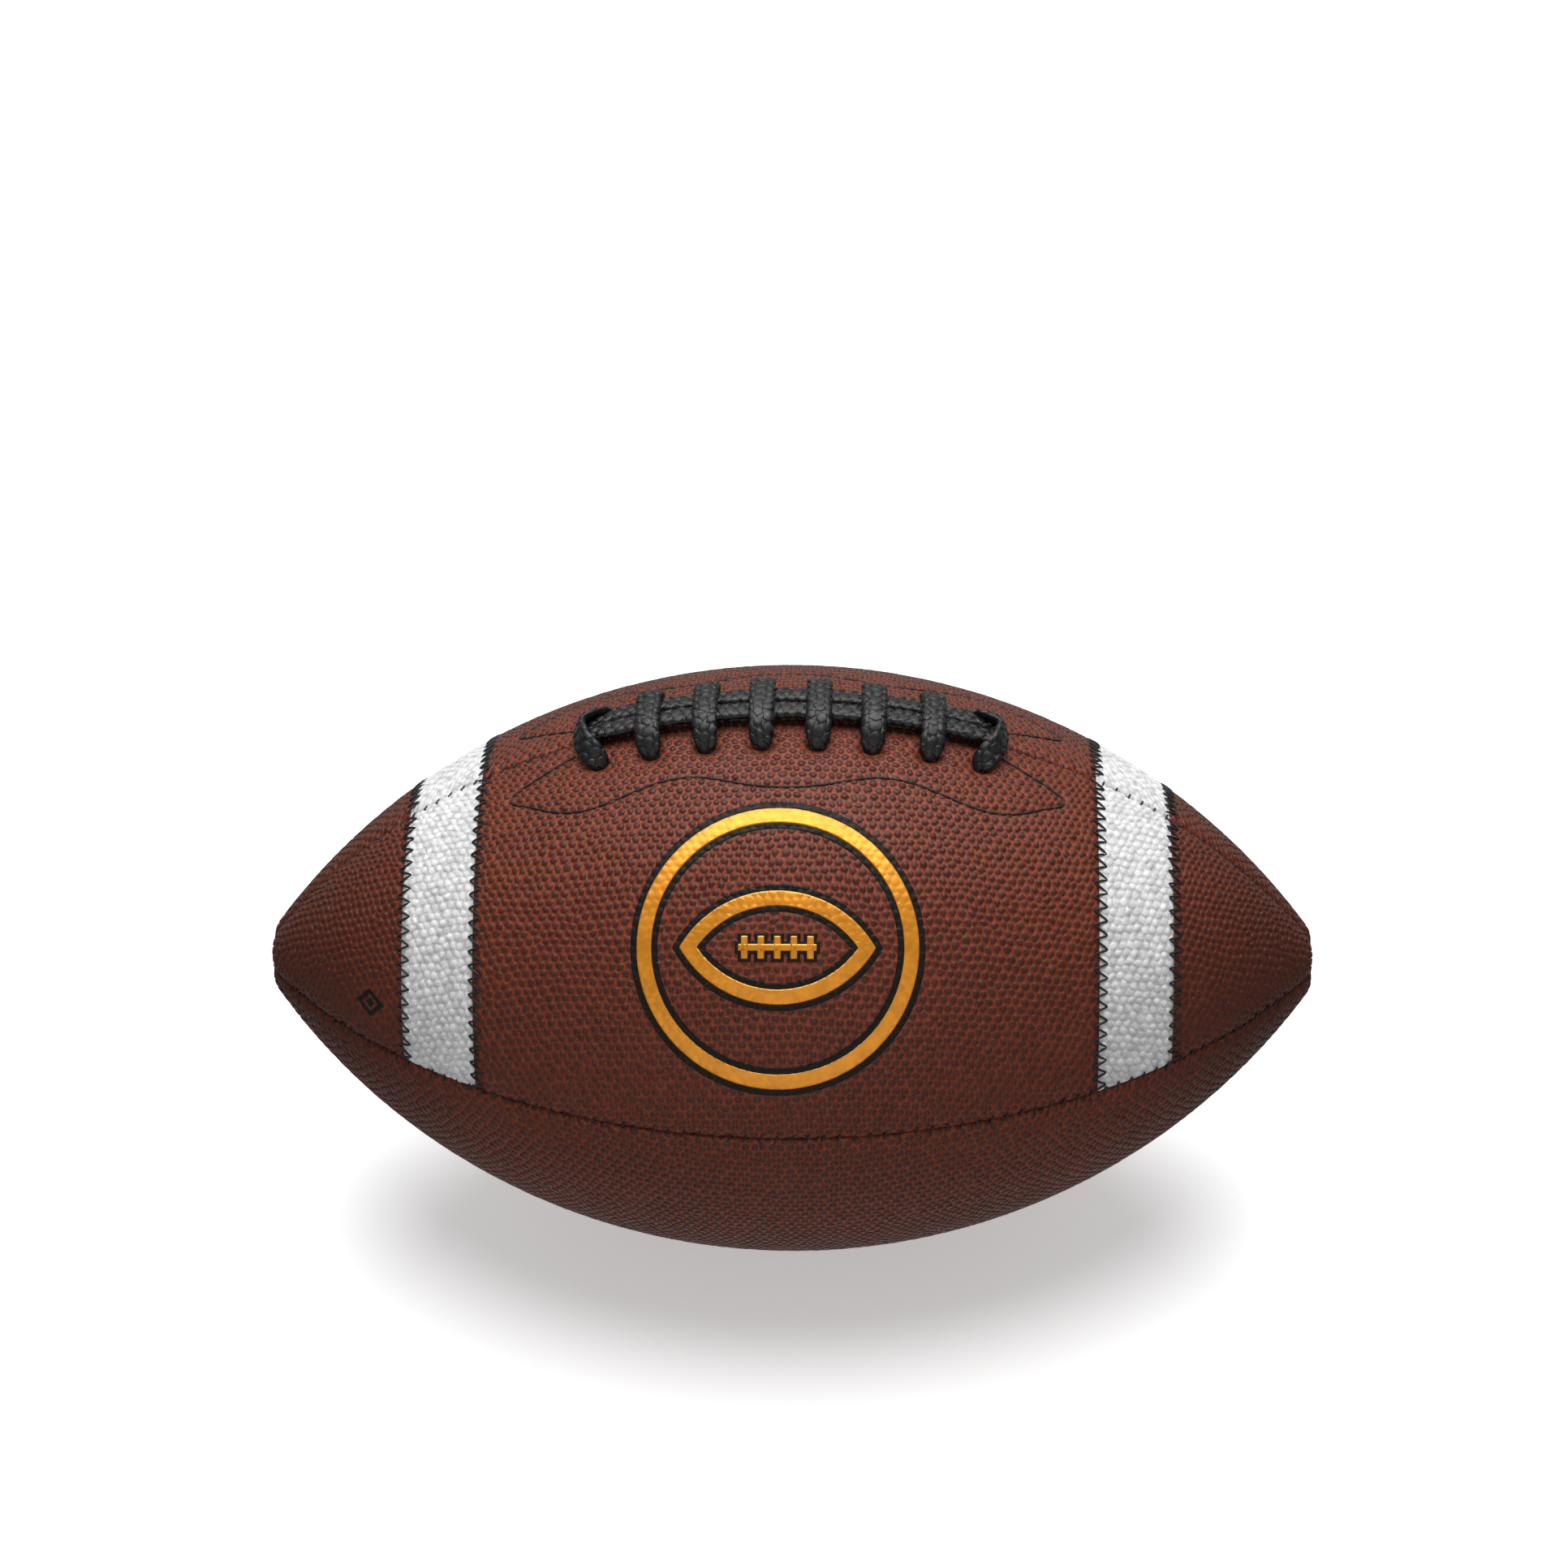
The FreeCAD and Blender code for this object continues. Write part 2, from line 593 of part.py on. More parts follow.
def make_valve():
    bore = "(dims.plug_diameter / 2 + dims.fit_clearance)"
    passage = "(dims.air_passage / 2)"
    flange = "(dims.flange_diameter / 2)"
    stem = "(dims.stem_diameter / 2)"
    under = f"({FLANGE_TOP} - dims.flange_thickness)"
    seat = f"({PLUG_BOTTOM} - dims.fit_clearance)"
    housing = new_body("valve_housing")
    drawing = valve_drawing(housing)
    drawing.polygon([(passage, under), (flange, under), (flange, FLANGE_TOP), (stem, FLANGE_TOP),
                     (stem, STEM_TOP), (bore, STEM_TOP), (bore, seat), (passage, seat)])
    revolve(housing, "Revolution", "turned", drawing, "360 deg", axis="V_Axis")
    needle = "(dims.needle_bore / 2)"
    needle_end = f"({STEM_TOP} - dims.needle_depth)"
    plug_radius = "(dims.plug_diameter / 2)"
    plug = new_body("valve_plug")
    drawing = valve_drawing(plug)
    drawing.polygon([("0", PLUG_BOTTOM), (plug_radius, PLUG_BOTTOM), (plug_radius, STEM_TOP),
                     (needle, STEM_TOP), (needle, needle_end), ("0", needle_end)])
    revolve(plug, "Revolution", "turned", drawing, "360 deg", axis="V_Axis")


def thread_circle(drawing):
    """The thread's round section, in its channel."""
    height = f"({BELLY} - {THREAD_DEPTH})"
    circle = drawing.circle((0, number(height)), number("dims.thread_diameter / 2"))
    drawing.relate("PointOnObject", circle, CENTRE, -2)
    drawing.above_origin(circle, CENTRE, height)
    drawing.bind("Radius", (circle,), "dims.thread_diameter / 2")


def make_seam_threads():
    reach = f"asin((dims.seam_reach - dims.channel_width) / {BELLY})"
    for name, quarters in (("front_seam_thread", 1), ("bottom_seam_thread", 2), ("rear_seam_thread", 3)):
        body = new_body(name)
        drawing = Drawing(body, "section", "YZ_Plane")
        seam_frame(drawing, quarters)
        thread_circle(drawing)
        revolve(body, "Revolution", "thread", drawing, f"2 * {reach}", both_ways=True)
    body = new_body("lace_seam_thread")
    start = f"asin(dims.lace_seam_start / {BELLY})"
    for name, first in (("right", start), ("left", f"(-{reach})")):
        drawing = Drawing(body, f"{name}_section", "YZ_Plane")
        lace_frame(drawing, first)
        thread_circle(drawing)
        revolve(body, "Revolution", f"{name}_thread", drawing, f"{reach} - {start}")


UPPER_SIDES = [("front", FRONT), ("rear", REAR)]
ENDS = [("left", -1), ("right", 1)]


def make_stripes():
    edge = f"({arc_angle('dims.channel_width / 2')} + {GAP_ANGLE})"
    for name, side in UPPER_SIDES:
        for end, direction in ENDS:
            near = f"({direction} * (dims.stripe_start + dims.stripe_clearance))"
            far = f"({direction} * (dims.stripe_start + dims.stripe_width - dims.stripe_clearance))"
            first, last = (near, far) if direction > 0 else (far, near)
            start = edge if side == FRONT else f"({edge} - 90 deg)"
            body = new_body(f"{name}_{end}_stripe")
            under = "(dims.stripe_thickness - dims.stripe_clearance)"
            drawing = band_drawing(body, "outline", SURFACE, under, first, last, start)
            revolve(body, "Revolution", "strip", drawing, f"(90 deg - 2 * {edge})")


def surface_point(along, angle, height):
    """A point over the belly, by its place on the long axis, angle in radians and height."""
    belly = number(BELLY)
    radius = math.sqrt(belly**2 - along**2) - number(BELLY_DROP)
    outward = Vector(along / belly, -math.sin(angle) * math.sqrt(1 - (along / belly)**2),
                     math.cos(angle) * math.sqrt(1 - (along / belly)**2))
    return Vector(along, -radius * math.sin(angle), radius * math.cos(angle)) + outward * height, outward


def stitch(start, end, thread, trim):
    """One straight stitch between two places on the cover, cut short at both ends."""
    height = number("dims.layer_gap")
    first, outward = surface_point(*start, height)
    last, _ = surface_point(*end, height)
    length = (last - first).Length - 2 * trim
    forward = Vector(last - first).normalize()
    across = outward.cross(forward).normalize()
    upward = forward.cross(across)
    box = Part.makeBox(length, thread, thread)
    turned = Rotation(forward, across, upward, "XYZ")
    corner = first + forward * trim - across * (thread / 2)
    box.Placement = Placement(corner, turned)
    return box


def add_stitches(label, stitches):
    """Keep a group of separate stitches as one sub-part."""
    group = doc.addObject("Part::Feature", label)
    group.Label = label
    group.Shape = Part.makeCompound(stitches)
    group.Placement = Placement(Vector(0, 0, number(RADIUS)), Rotation())
    BODIES.append(group)


def make_stripe_stitching():
    width = number("dims.zigzag_width")
    pitch = number("dims.zigzag_pitch")
    thread = number("dims.zigzag_thread")
    margin = math.radians(number(arc_angle("dims.channel_width")))
    drop = number(BELLY_DROP)
    for name, side in UPPER_SIDES:
        for end, direction in ENDS:
            stitches = []
            for joint in (number("dims.stripe_start"), number("dims.stripe_start + dims.stripe_width")):
                radius = math.sqrt(number(BELLY)**2 - joint**2) - drop
                room = math.pi / 2 - 2 * margin
                count = int(room * radius / (pitch / 2))
                step = room / count
                for leg in range(count):
                    sway = width / 2 if leg % 2 else -width / 2
                    start = (direction * (joint + sway), -side * (margin + leg * step))
                    stop = (direction * (joint - sway), -side * (margin + (leg + 1) * step))
                    stitches.append(stitch(start, stop, thread, 1.3 * thread))
            add_stitches(f"{name}_{end}_stripe_stitching", stitches)


# Half of the topstitch line, seam end to middle, as shares of the facing's half length and of its width.
TOPSTITCH = [(0.743, 0.22), (0.965, 0.563), (0.88, 0.733), (0.777, 0.863), (0.667, 0.90), (0.513, 0.837),
             (0.423, 0.80), (0.32, 0.803), (0.227, 0.853), (0.124, 0.92), (0.0, 0.95)]


def make_facing_stitching():
    half, width = number(FACING_END), number("dims.facing_width")
    right = [Vector(along * half, across * width, 0) for along, across in TOPSTITCH]
    left = [Vector(-point.x, point.y, 0) for point in reversed(right[:-1])]
    line = Part.BSplineCurve()
    line.interpolate(right + left)
    length, gap = number("dims.topstitch_length"), number("dims.topstitch_gap")
    count = int(line.length() / (length + gap))
    places = line.discretize(count + 1)
    radius = number(RADIUS)
    thread = number("dims.topstitch_thread")
    for name, side in UPPER_SIDES:
        stitches = []
        line_places = [(place.x, -side * place.y / radius) for place in places]
        for before, after in zip(line_places, line_places[1:]):
            stitches.append(stitch(before, after, thread, gap / 2))
        add_stitches(f"{name}_facing_stitching", stitches)


def print_body(label, angle, along, half_length, half_width, outlines):
    """A thin printed film: a patch of shell with all but the outlines cut away."""
    body = new_body(label)
    outer = "(-dims.mark_gap - dims.foil_thickness)"
    first, last = f"({along} - {half_length})", f"({along} + {half_length})"
    width = f"(2 * asin(({half_width}) / {RADIUS}))"
    drawing = band_drawing(body, "patch_outline", outer, "(-dims.mark_gap)", first, last,
                           f"({angle} - {width} / 2)")
    revolve(body, "Revolution", "patch", drawing, width)
    cutter = Drawing(body, "cutter_outline", "XY_Plane")
    cutter.turn(ABOUT_X, angle)
    cutter.shift("x", along)
    cutter.polygon([(f"{CROSSING}", f"{CROSSING}"), (f"-{CROSSING}", f"{CROSSING}"),
                    (f"-{CROSSING}", f"-{CROSSING}"), (f"{CROSSING}", f"-{CROSSING}")])
    outlines(cutter)
    extrude(body, "Pocket", "cutter", cutter, CROSSING, both_ways=False)
    return body


def make_emblem():
    """A ring round an outlined football in foil, and the thin dark lines on both sides of each stroke."""
    along = "(-dims.emblem_offset)"
    outside = "(dims.emblem_diameter / 2)"
    inside = f"({outside} - dims.emblem_stroke)"
    margin = "(dims.emblem_outline + dims.mark_gap)"

    def badge(cutter, growth):
        cutter.lens_outline("dims.badge_length", "dims.badge_height", growth)

    def foil(cutter):
        cutter.round_outline(outside)
        cutter.round_outline(inside)
        badge(cutter, "0")
        badge(cutter, "(-dims.emblem_stroke)")

    def outline(cutter):
        for edge, outward in ((outside, "1"), (inside, "-1")):
            cutter.round_outline(f"({edge} + {outward} * dims.mark_gap)")
            cutter.round_outline(f"({edge} + {outward} * {margin})")
        for growth, outward in (("0", "1"), ("(-dims.emblem_stroke)", "-1")):
            badge(cutter, f"({growth} + {outward} * dims.mark_gap)")
            badge(cutter, f"({growth} + {outward} * {margin})")

    clear_of_facing = arc_angle("(dims.facing_width + dims.emblem_margin)")
    angle = f"({clear_of_facing} + asin({outside} / {RADIUS}))"
    reach = f"({outside} + 2 * {margin})"
    print_body("emblem_foil", angle, along, reach, reach, foil)
    print_body("emblem_outline", angle, along, reach, reach, outline)


def make_nose_mark():
    half = "(dims.mark_size / 2)"
    room = "(2 * dims.mark_size)"

    def diamond(cutter):
        cutter.polygon([(half, "0"), ("0", half), (f"-{half}", "0"), ("0", f"-{half}")])

    print_body("nose_mark", "(dims.mark_angle * 1 deg)", "(-dims.mark_offset)", room, room, diamond)


make_panels()
make_linings()
make_facings()
make_tongue()
make_lace()
make_bladder()
make_valve()
make_seam_threads()
make_stripes()
make_stripe_stitching()
make_facing_stitching()
make_emblem()
make_nose_mark()
doc.recompute()

for item in doc.Objects:
    if "Invalid" in item.State or "Error" in item.State:
        raise RuntimeError(f"{item.Name} did not recompute: {item.State}")
for body in BODIES:
    if body.Shape.isNull() or not body.Shape.isValid():
        raise RuntimeError(f"{body.Label} has no valid shape")

os.makedirs("parts", exist_ok=True)
for body in BODIES:
    body.Shape.exportStep(f"parts/{body.Label}.step")
    print(f"{body.Label}: {len(body.Shape.Solids)} solids, {body.Shape.Volume:.1f} mm3")
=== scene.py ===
"""Leather football: pebbled panels, let-in stripes, stitching, lacing and foil emblem round a fixed frame."""
import math
import random

import bmesh
import bpy
from bpy.props import FloatProperty, FloatVectorProperty, IntProperty, PointerProperty
from mathutils import Matrix, Vector, noise
from mathutils.bvhtree import BVHTree
from mathutils.kdtree import KDTree


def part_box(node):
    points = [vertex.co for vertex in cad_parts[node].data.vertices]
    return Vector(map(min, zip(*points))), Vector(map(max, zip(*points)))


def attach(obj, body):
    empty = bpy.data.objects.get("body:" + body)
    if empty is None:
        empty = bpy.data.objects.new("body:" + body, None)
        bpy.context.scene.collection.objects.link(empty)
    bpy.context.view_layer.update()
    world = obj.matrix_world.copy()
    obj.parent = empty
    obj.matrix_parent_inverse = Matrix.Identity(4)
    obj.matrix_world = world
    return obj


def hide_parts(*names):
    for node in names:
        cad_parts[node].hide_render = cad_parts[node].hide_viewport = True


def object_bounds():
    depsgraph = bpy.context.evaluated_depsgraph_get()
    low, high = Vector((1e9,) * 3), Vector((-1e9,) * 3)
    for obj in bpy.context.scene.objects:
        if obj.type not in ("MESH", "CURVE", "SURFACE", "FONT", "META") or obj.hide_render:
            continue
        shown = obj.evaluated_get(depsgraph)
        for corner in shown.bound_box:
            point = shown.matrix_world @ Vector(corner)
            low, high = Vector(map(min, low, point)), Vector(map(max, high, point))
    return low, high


bl_info = {
    "name": "Leather Football",
    "version": (1, 0, 0),
    "blender": (4, 5, 0),
    "location": "View3D > Sidebar > Football",
    "description": "Builds the visible leather, stitching, lacing and emblem of a football",
    "category": "Object",
}

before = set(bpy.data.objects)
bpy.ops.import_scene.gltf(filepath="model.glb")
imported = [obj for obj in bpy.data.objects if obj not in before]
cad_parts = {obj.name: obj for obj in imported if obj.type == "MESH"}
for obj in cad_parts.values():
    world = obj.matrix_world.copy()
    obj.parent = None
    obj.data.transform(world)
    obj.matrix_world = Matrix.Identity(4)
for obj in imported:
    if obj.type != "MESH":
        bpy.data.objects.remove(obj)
CAD_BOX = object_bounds()

MM = 0.001
QUARTER = math.pi / 2
HALF_LENGTH = CAD_BOX[1][0]
BELLY_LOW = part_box("front_lower_panel")[0][2]
BELLY_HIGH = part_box("front_upper_panel")[1][2]
RADIUS = BELLY_LOW + (BELLY_HIGH - BELLY_LOW) / 2
FRONT = 1
REAR = -1
PANELS = {
    "front_upper": (FRONT, 0.5),
    "front_lower": (FRONT, 1.5),
    "rear_lower": (REAR, 1.5),
    "rear_upper": (REAR, 0.5),
}
UPPER_SIDES = (("front", FRONT), ("rear", REAR))
ENDS = (("left", -1), ("right", 1))
SEAMS = (("lace", 0), ("front", 1), ("bottom", 2), ("rear", 3))
# A length too small to divide by.
NO_LENGTH = 0.01 * MM


def length_setting(title, text, size):
    """A length that a user can set, given in millimetres."""
    return FloatProperty(name=title, description=text, default=size * MM, unit="LENGTH")


def angle_setting(title, text, size):
    """An angle that a user can set, given in degrees."""
    return FloatProperty(name=title, description=text, default=math.radians(size), subtype="ANGLE")


def colour_setting(title, text, value):
    """A colour that a user can set."""
    return FloatVectorProperty(
        name=title, description=text, default=value, size=3, subtype="COLOR", min=0.0, max=1.0)


class FootballForm(bpy.types.PropertyGroup):
    """Sizes of the ball's outline and of what is let into or sewn onto it."""

    nose_width: length_setting(
        "Nose width", "Width at which the belly's curve would meet the nose's tip", 14.0)
    nose_cap_radius: length_setting("Nose cap radius", "Radius of the blunt cap at each nose", 60.0)
    nose_corner_radius: length_setting("Nose corner radius", "Radius of the turn between belly and cap", 8.0)
    nose_opening: length_setting("Nose opening", "Radius left open where the panels' tips meet", 0.5)
    stripe_start: length_setting("Stripe start", "Distance from the middle to a stripe's inner edge", 81.0)
    stripe_width: length_setting("Stripe width", "Width of a white stripe along the ball", 20.0)
    valve_radius: length_setting("Valve hole radius", "Radius of the hole in the cover round the valve", 4.6)


class LeatherSizes(bpy.types.PropertyGroup):
    """Sizes of the pebbled grain and of the turned panel edges."""

    pebble_spacing: length_setting("Pebble spacing", "Mean distance between neighbouring pebbles", 2.45)
    pebble_share: FloatProperty(
        name="Pebble share", description="Part of the distance to a neighbour that a pebble's foot takes",
        default=43.0, min=20.0, max=50.0, subtype="PERCENTAGE")
    shoulder_height: length_setting("Shoulder height", "Height of a pebble's shoulder over the valley", 0.24)
    crown_height: length_setting("Crown height", "Height of a pebble's flat top over its shoulder", 0.12)
    shoulder_inset: FloatProperty(
        name="Shoulder inset", description="Run of a pebble's steep side, as a share of the spacing",
        default=0.045, min=0.01, max=0.2)
    crown_inset: FloatProperty(
        name="Crown inset", description="Run from the shoulder to the flat top, as a share of the spacing",
        default=0.045, min=0.01, max=0.2)
    scatter: FloatProperty(
        name="Scatter", description="How far a pebble strays from an even pattern, as a share of the spacing",
        default=0.26, min=0.0, max=0.5)
    edge_roll: length_setting("Edge roll", "Radius of a panel's turned edge at a seam", 1.0)
    seam_gap: length_setting("Seam gap", "Gap between two panels at a seam", 0.18)
    cover_thickness: length_setting("Cover thickness", "How deep a panel's cut edge goes", 1.9)


class StitchSizes(bpy.types.PropertyGroup):
    """Sizes of the sewing."""

    zigzag_pitch: length_setting("Zigzag pitch", "Length of one full zigzag along a stripe's edge", 3.7)
    zigzag_width: length_setting("Zigzag width", "Width of the zigzag across a stripe's edge", 3.7)
    zigzag_thread: length_setting("Zigzag thread", "Thickness of the zigzag's thread", 0.62)
    seam_pitch: length_setting("Seam pitch", "Distance between stitches in a panel seam", 4.0)
    seam_thread: length_setting("Seam thread", "Thickness of the thread in a panel seam", 0.62)
    topstitch_length: length_setting(
        "Topstitch length", "Length of one stitch of the line round the lacing", 3.2)
    topstitch_thread: length_setting(
        "Topstitch thread", "Thickness of the thread of the line round the lacing", 0.72)


class LaceSizes(bpy.types.PropertyGroup):
    """Sizes of the lacing."""

    lace_count: IntProperty(
        name="Crosses", description="Number of crosses over the two strands", default=8, min=4)
    lace_pitch: length_setting("Lace pitch", "Distance between neighbouring crosses", 14.2)
    lace_width: length_setting("Lace width", "Width of the lace where it crosses", 7.0)
    strand_width: length_setting("Strand width", "Width of each of the two strands along the seam", 6.3)
    lace_thickness: length_setting("Lace thickness", "Thickness of the lace", 2.1)
    cross_height: length_setting("Cross height", "Height of a cross's top over the leather", 6.2)
    slot_distance: length_setting("Slot distance", "Distance from the lace seam to a lace hole", 12.8)
    end_bow: length_setting("End bow", "How far an end cross bows towards its nose", 4.8)
    bump_spacing: length_setting("Bump spacing", "Mean distance between the lace's bumps", 2.95)


class EmblemSizes(bpy.types.PropertyGroup):
    """Sizes and places of the foil emblem and of the small mark by the nose."""

    emblem_angle: angle_setting("Emblem angle", "Angle from the lace seam to the emblem's middle", 51.6)
    emblem_along: length_setting("Emblem place", "Place of the emblem's middle on the long axis", -1.5)
    ring_radius: length_setting("Ring radius", "Outside radius of the foil ring", 36.0)
    stroke: length_setting("Stroke", "Width of the foil lines", 3.8)
    keyline: length_setting("Keyline", "Width of the dark lines beside the foil", 1.6)
    badge_length: length_setting("Badge length", "Length of the outlined ball in the ring", 50.0)
    badge_height: length_setting("Badge height", "Height of the outlined ball in the ring", 29.0)
    mark_angle: angle_setting("Mark angle", "Angle from the lace seam to the small mark", 71.5)
    mark_along: length_setting("Mark place", "Place of the small mark on the long axis", -110.0)
    mark_size: length_setting("Mark size", "Width of the small mark", 8.0)


class FinishColours(bpy.types.PropertyGroup):
    """Colours that a user would change."""

    leather: colour_setting(
        "Leather", "Colour of the brown leather between its pebbles", (0.255, 0.0485, 0.0205))
    pebble_ink: colour_setting(
        "Pebble ink", "Colour rubbed onto the tops of the brown pebbles", (0.07, 0.0255, 0.017))
    stripe: colour_setting("Stripe", "Colour of the white stripes", (0.81, 0.81, 0.815))
    lace: colour_setting("Lace", "Colour of the lace", (0.007, 0.007, 0.0073))
    thread: colour_setting("Thread", "Colour of the sewing thread", (0.008, 0.007, 0.008))
    foil: colour_setting("Foil", "Colour of the emblem's foil", (0.93, 0.35, 0.022))


class StudioSettings(bpy.types.PropertyGroup):
    """Camera and light."""

    camera_distance: FloatProperty(
        name="Camera distance", description="Distance from the ball's middle to the camera",
        default=1.2, unit="LENGTH")
    camera_elevation: angle_setting("Camera elevation", "How far above level the camera looks from", 36.61)
    camera_azimuth: angle_setting(
        "Camera azimuth", "How far the camera stands to the right of straight ahead", 1.85)
    camera_roll: angle_setting("Camera roll", "Turn of the camera about its line of sight", -0.84)
    camera_tilt: angle_setting("Camera tilt", "How far above the ball's middle the camera aims", 2.244)
    camera_pan: angle_setting("Camera pan", "How far to the left of the ball's middle the camera aims", 0.094)
    lens: FloatProperty(
        name="Lens", description="Focal length in millimetres on a 36 mm sensor", default=101.41)
    overhead_power: FloatProperty(
        name="Overhead power", description="Strength of the large softbox over the ball", default=3.15)
    overhead_spread: angle_setting("Overhead spread", "How wide the softbox looks from the ball", 60)
    overhead_lean: angle_setting("Overhead lean", "How far behind the ball the softbox hangs", 12)
    fill_power: FloatProperty(
        name="Fill power", description="Strength of the low softbox in front of the ball", default=0.55)
    fill_height: angle_setting("Fill height", "How far above level the front softbox hangs", 5)
    sky: FloatProperty(
        name="Room light", description="Strength of the even light all round", default=0.46)
    bounce: FloatProperty(
        name="Floor bounce", description="How much stronger the light from below is than the room light",
        default=1.25)
    table_glow: FloatProperty(
        name="Table glow", description="Light that the lit table top gives out by itself", default=0.42)
    dark_front: FloatProperty(
        name="Dark front", description="How much of the room light is missing behind the camera",
        default=0.75, min=0.0, max=1.0)


# ---------------------------------------------------------------- the ball's surface


class Outline:
    """The ball's side outline, from the middle to the nose: belly arc, corner arc and cap arc."""

    def __init__(self, form):
        depth = RADIUS - form.nose_width / 2
        self.belly = (HALF_LENGTH**2 + depth**2) / (2 * depth)
        self.drop = self.belly - RADIUS
        self.corner = form.nose_corner_radius
        self.cap = form.nose_cap_radius
        self.cap_centre = HALF_LENGTH - self.cap
        far = self.belly - self.corner
        near = self.cap - self.corner
        line = Vector((self.cap_centre, self.drop))
        gap = line.length
        along = (far**2 - near**2 + gap**2) / (2 * gap)
        beside = math.sqrt(far**2 - along**2)
        unit = line / gap
        centre = unit * along + Vector((unit.y, -unit.x)) * beside
        self.corner_centre = Vector((centre.x, centre.y - self.drop))
        self.first_tilt = math.asin(self.corner_centre.x / far)
        self.last_tilt = math.asin((self.corner_centre.x - self.cap_centre) / near)
        self.belly_end = self.belly * self.first_tilt
        self.corner_end = self.belly_end + self.corner * (self.last_tilt - self.first_tilt)
        self.end = self.corner_end + self.cap * (QUARTER - self.last_tilt)

    def place(self, length):
        """Distance along the axis, radius and outward tilt at a length from the middle."""
        far = abs(length)
        if far <= self.belly_end:
            tilt = far / self.belly
            along = self.belly * math.sin(tilt)
            radius = self.belly * math.cos(tilt) - self.drop
        elif far <= self.corner_end:
            tilt = self.first_tilt + (far - self.belly_end) / self.corner
            along = self.corner_centre.x + self.corner * math.sin(tilt)
            radius = self.corner_centre.y + self.corner * math.cos(tilt)
        else:
            tilt = min(self.last_tilt + (far - self.corner_end) / self.cap, QUARTER)
            along = self.cap_centre + self.cap * math.sin(tilt)
            radius = self.cap * math.cos(tilt)
        return math.copysign(along, length), radius, math.copysign(tilt, length)

    def length_at(self, along):
        """Length along the outline of a place on the belly."""
        return math.copysign(self.belly * math.asin(abs(along) / self.belly), along)

    def point(self, length, angle, height=0.0):
        """A point over the surface, and the outward direction there."""
        along, radius, tilt = self.place(length)
        level = math.cos(tilt)
        outward = Vector((math.sin(tilt), -level * math.sin(angle), level * math.cos(angle)))
        base = Vector((along, -radius * math.sin(angle), RADIUS + radius * math.cos(angle)))
        return base + outward * height, outward


def smooth_step(value):
    """Eased 0 to 1."""
    value = min(max(value, 0.0), 1.0)
    return value * value * (3 - 2 * value)


# Half of the line of stitches round the lacing, as (distance along the axis, distance from the lace seam).
TOPSTITCH_HALF = (
    (55.7 * MM, 6.6 * MM), (72.4 * MM, 17.6 * MM), (66.0 * MM, 24.4 * MM), (58.3 * MM, 28.7 * MM),
    (50.0 * MM, 29.2 * MM), (38.5 * MM, 25.3 * MM), (31.7 * MM, 23.2 * MM), (24.0 * MM, 22.8 * MM),
    (17.0 * MM, 24.3 * MM), (9.3 * MM, 26.4 * MM), (0.0, 27.3 * MM))


def smooth_path(points, pieces):
    """Points along a smooth curve through the given ones, the same number between each two."""
    path = []
    last = len(points) - 1
    for index in range(last):
        before = points[max(index - 1, 0)]
        start = points[index]
        stop = points[index + 1]
        after = points[min(index + 2, last)]
        for step in range(pieces):
            share = step / pieces
            path.append(
                start + (stop - before) * (share / 2)
                + (before * 2 - start * 5 + stop * 4 - after) * (share**2 / 2)
                + (start * 3 - before - stop * 3 + after) * (share**3 / 2))
    path.append(points[last].copy())
    return path


def even_places(path, spacing):
    """Places at equal distances along a path of close points."""
    total = sum((second - first).length for first, second in zip(path, path[1:]))
    count = max(int(total / spacing), 1)
    step = total / count
    places = [path[0].copy()]
    walked = 0.0
    for first, second in zip(path, path[1:]):
        piece = (second - first).length
        while piece > 0 and walked + piece >= step * len(places) - step * 1e-6 and len(places) <= count:
            places.append(first.lerp(second, (step * len(places) - walked) / piece))
        walked += piece
    return places


def topstitch_places(outline, spacing, side):
    """Places of one upper panel's topstitch line: surface points with their outward directions."""
    right = [Vector((along, across, 0.0)) for along, across in TOPSTITCH_HALF]
    left = [Vector((-point.x, point.y, 0.0)) for point in reversed(right[:-1])]
    line = even_places(smooth_path(right + left, TOPSTITCH_PIECES), spacing)
    return [outline.point(outline.length_at(place.x), side * place.y / RADIUS) for place in line]


# ---------------------------------------------------------------- pebbled leather

# A pebbled sheet: distance between its rows in spacings, and how its pattern drifts.
ROW_STEP = math.sqrt(0.75)
DRIFT_SCALE = 45.0
DRIFT_SHARE = 0.45
# How a pebble's top varies in size and height, and how much ink its shoulder takes.
TOP_GROWTH = (0.86, 1.1)
TOP_RISE = (-0.04, 0.05)
SHOULDER_INK = 0.4
# How wide a flat sheet is cut, how far it passes its seams, and how far it passes its ends.
SHEET_WIDTH = 2.2 * QUARTER / 2 * RADIUS
SHEET_MARGIN = 2.6 * MM
SHEET_OVERHANG = 3 * MM
# Shares of the grain's height that are left beside a seam, at a nose and beside the valve hole.
SEAM_RELIEF = 0.35
NOSE_RELIEF = 0.15
HOLE_RELIEF = 0.3
# Distances over which the grain comes back from a seam, a nose and the valve hole.
SEAM_FADE = 2.4 * MM
NOSE_START = 1.5 * MM
NOSE_FADE = 7 * MM
HOLE_FADE = 2.5 * MM
# Depth and reach of the dip along a seam, along a stripe's edge and round the valve hole.
SEAM_DIP = (0.35 * MM, 3.2 * MM)
JOINT_DIP = (0.42 * MM, 0.75 * MM)
HOLE_DIP = (0.5 * MM, 1.6 * MM)
# How flat the grain is pressed along a stripe's edge, and how far that reaches.
JOINT_FLAT = (0.5, 1.1 * MM)
# How deep the pebbles sit in the ball's outline, so that their tops lie on it.
GRAIN_SEAT = 0.85
GRAIN_SEAT_SPARE = 0.2
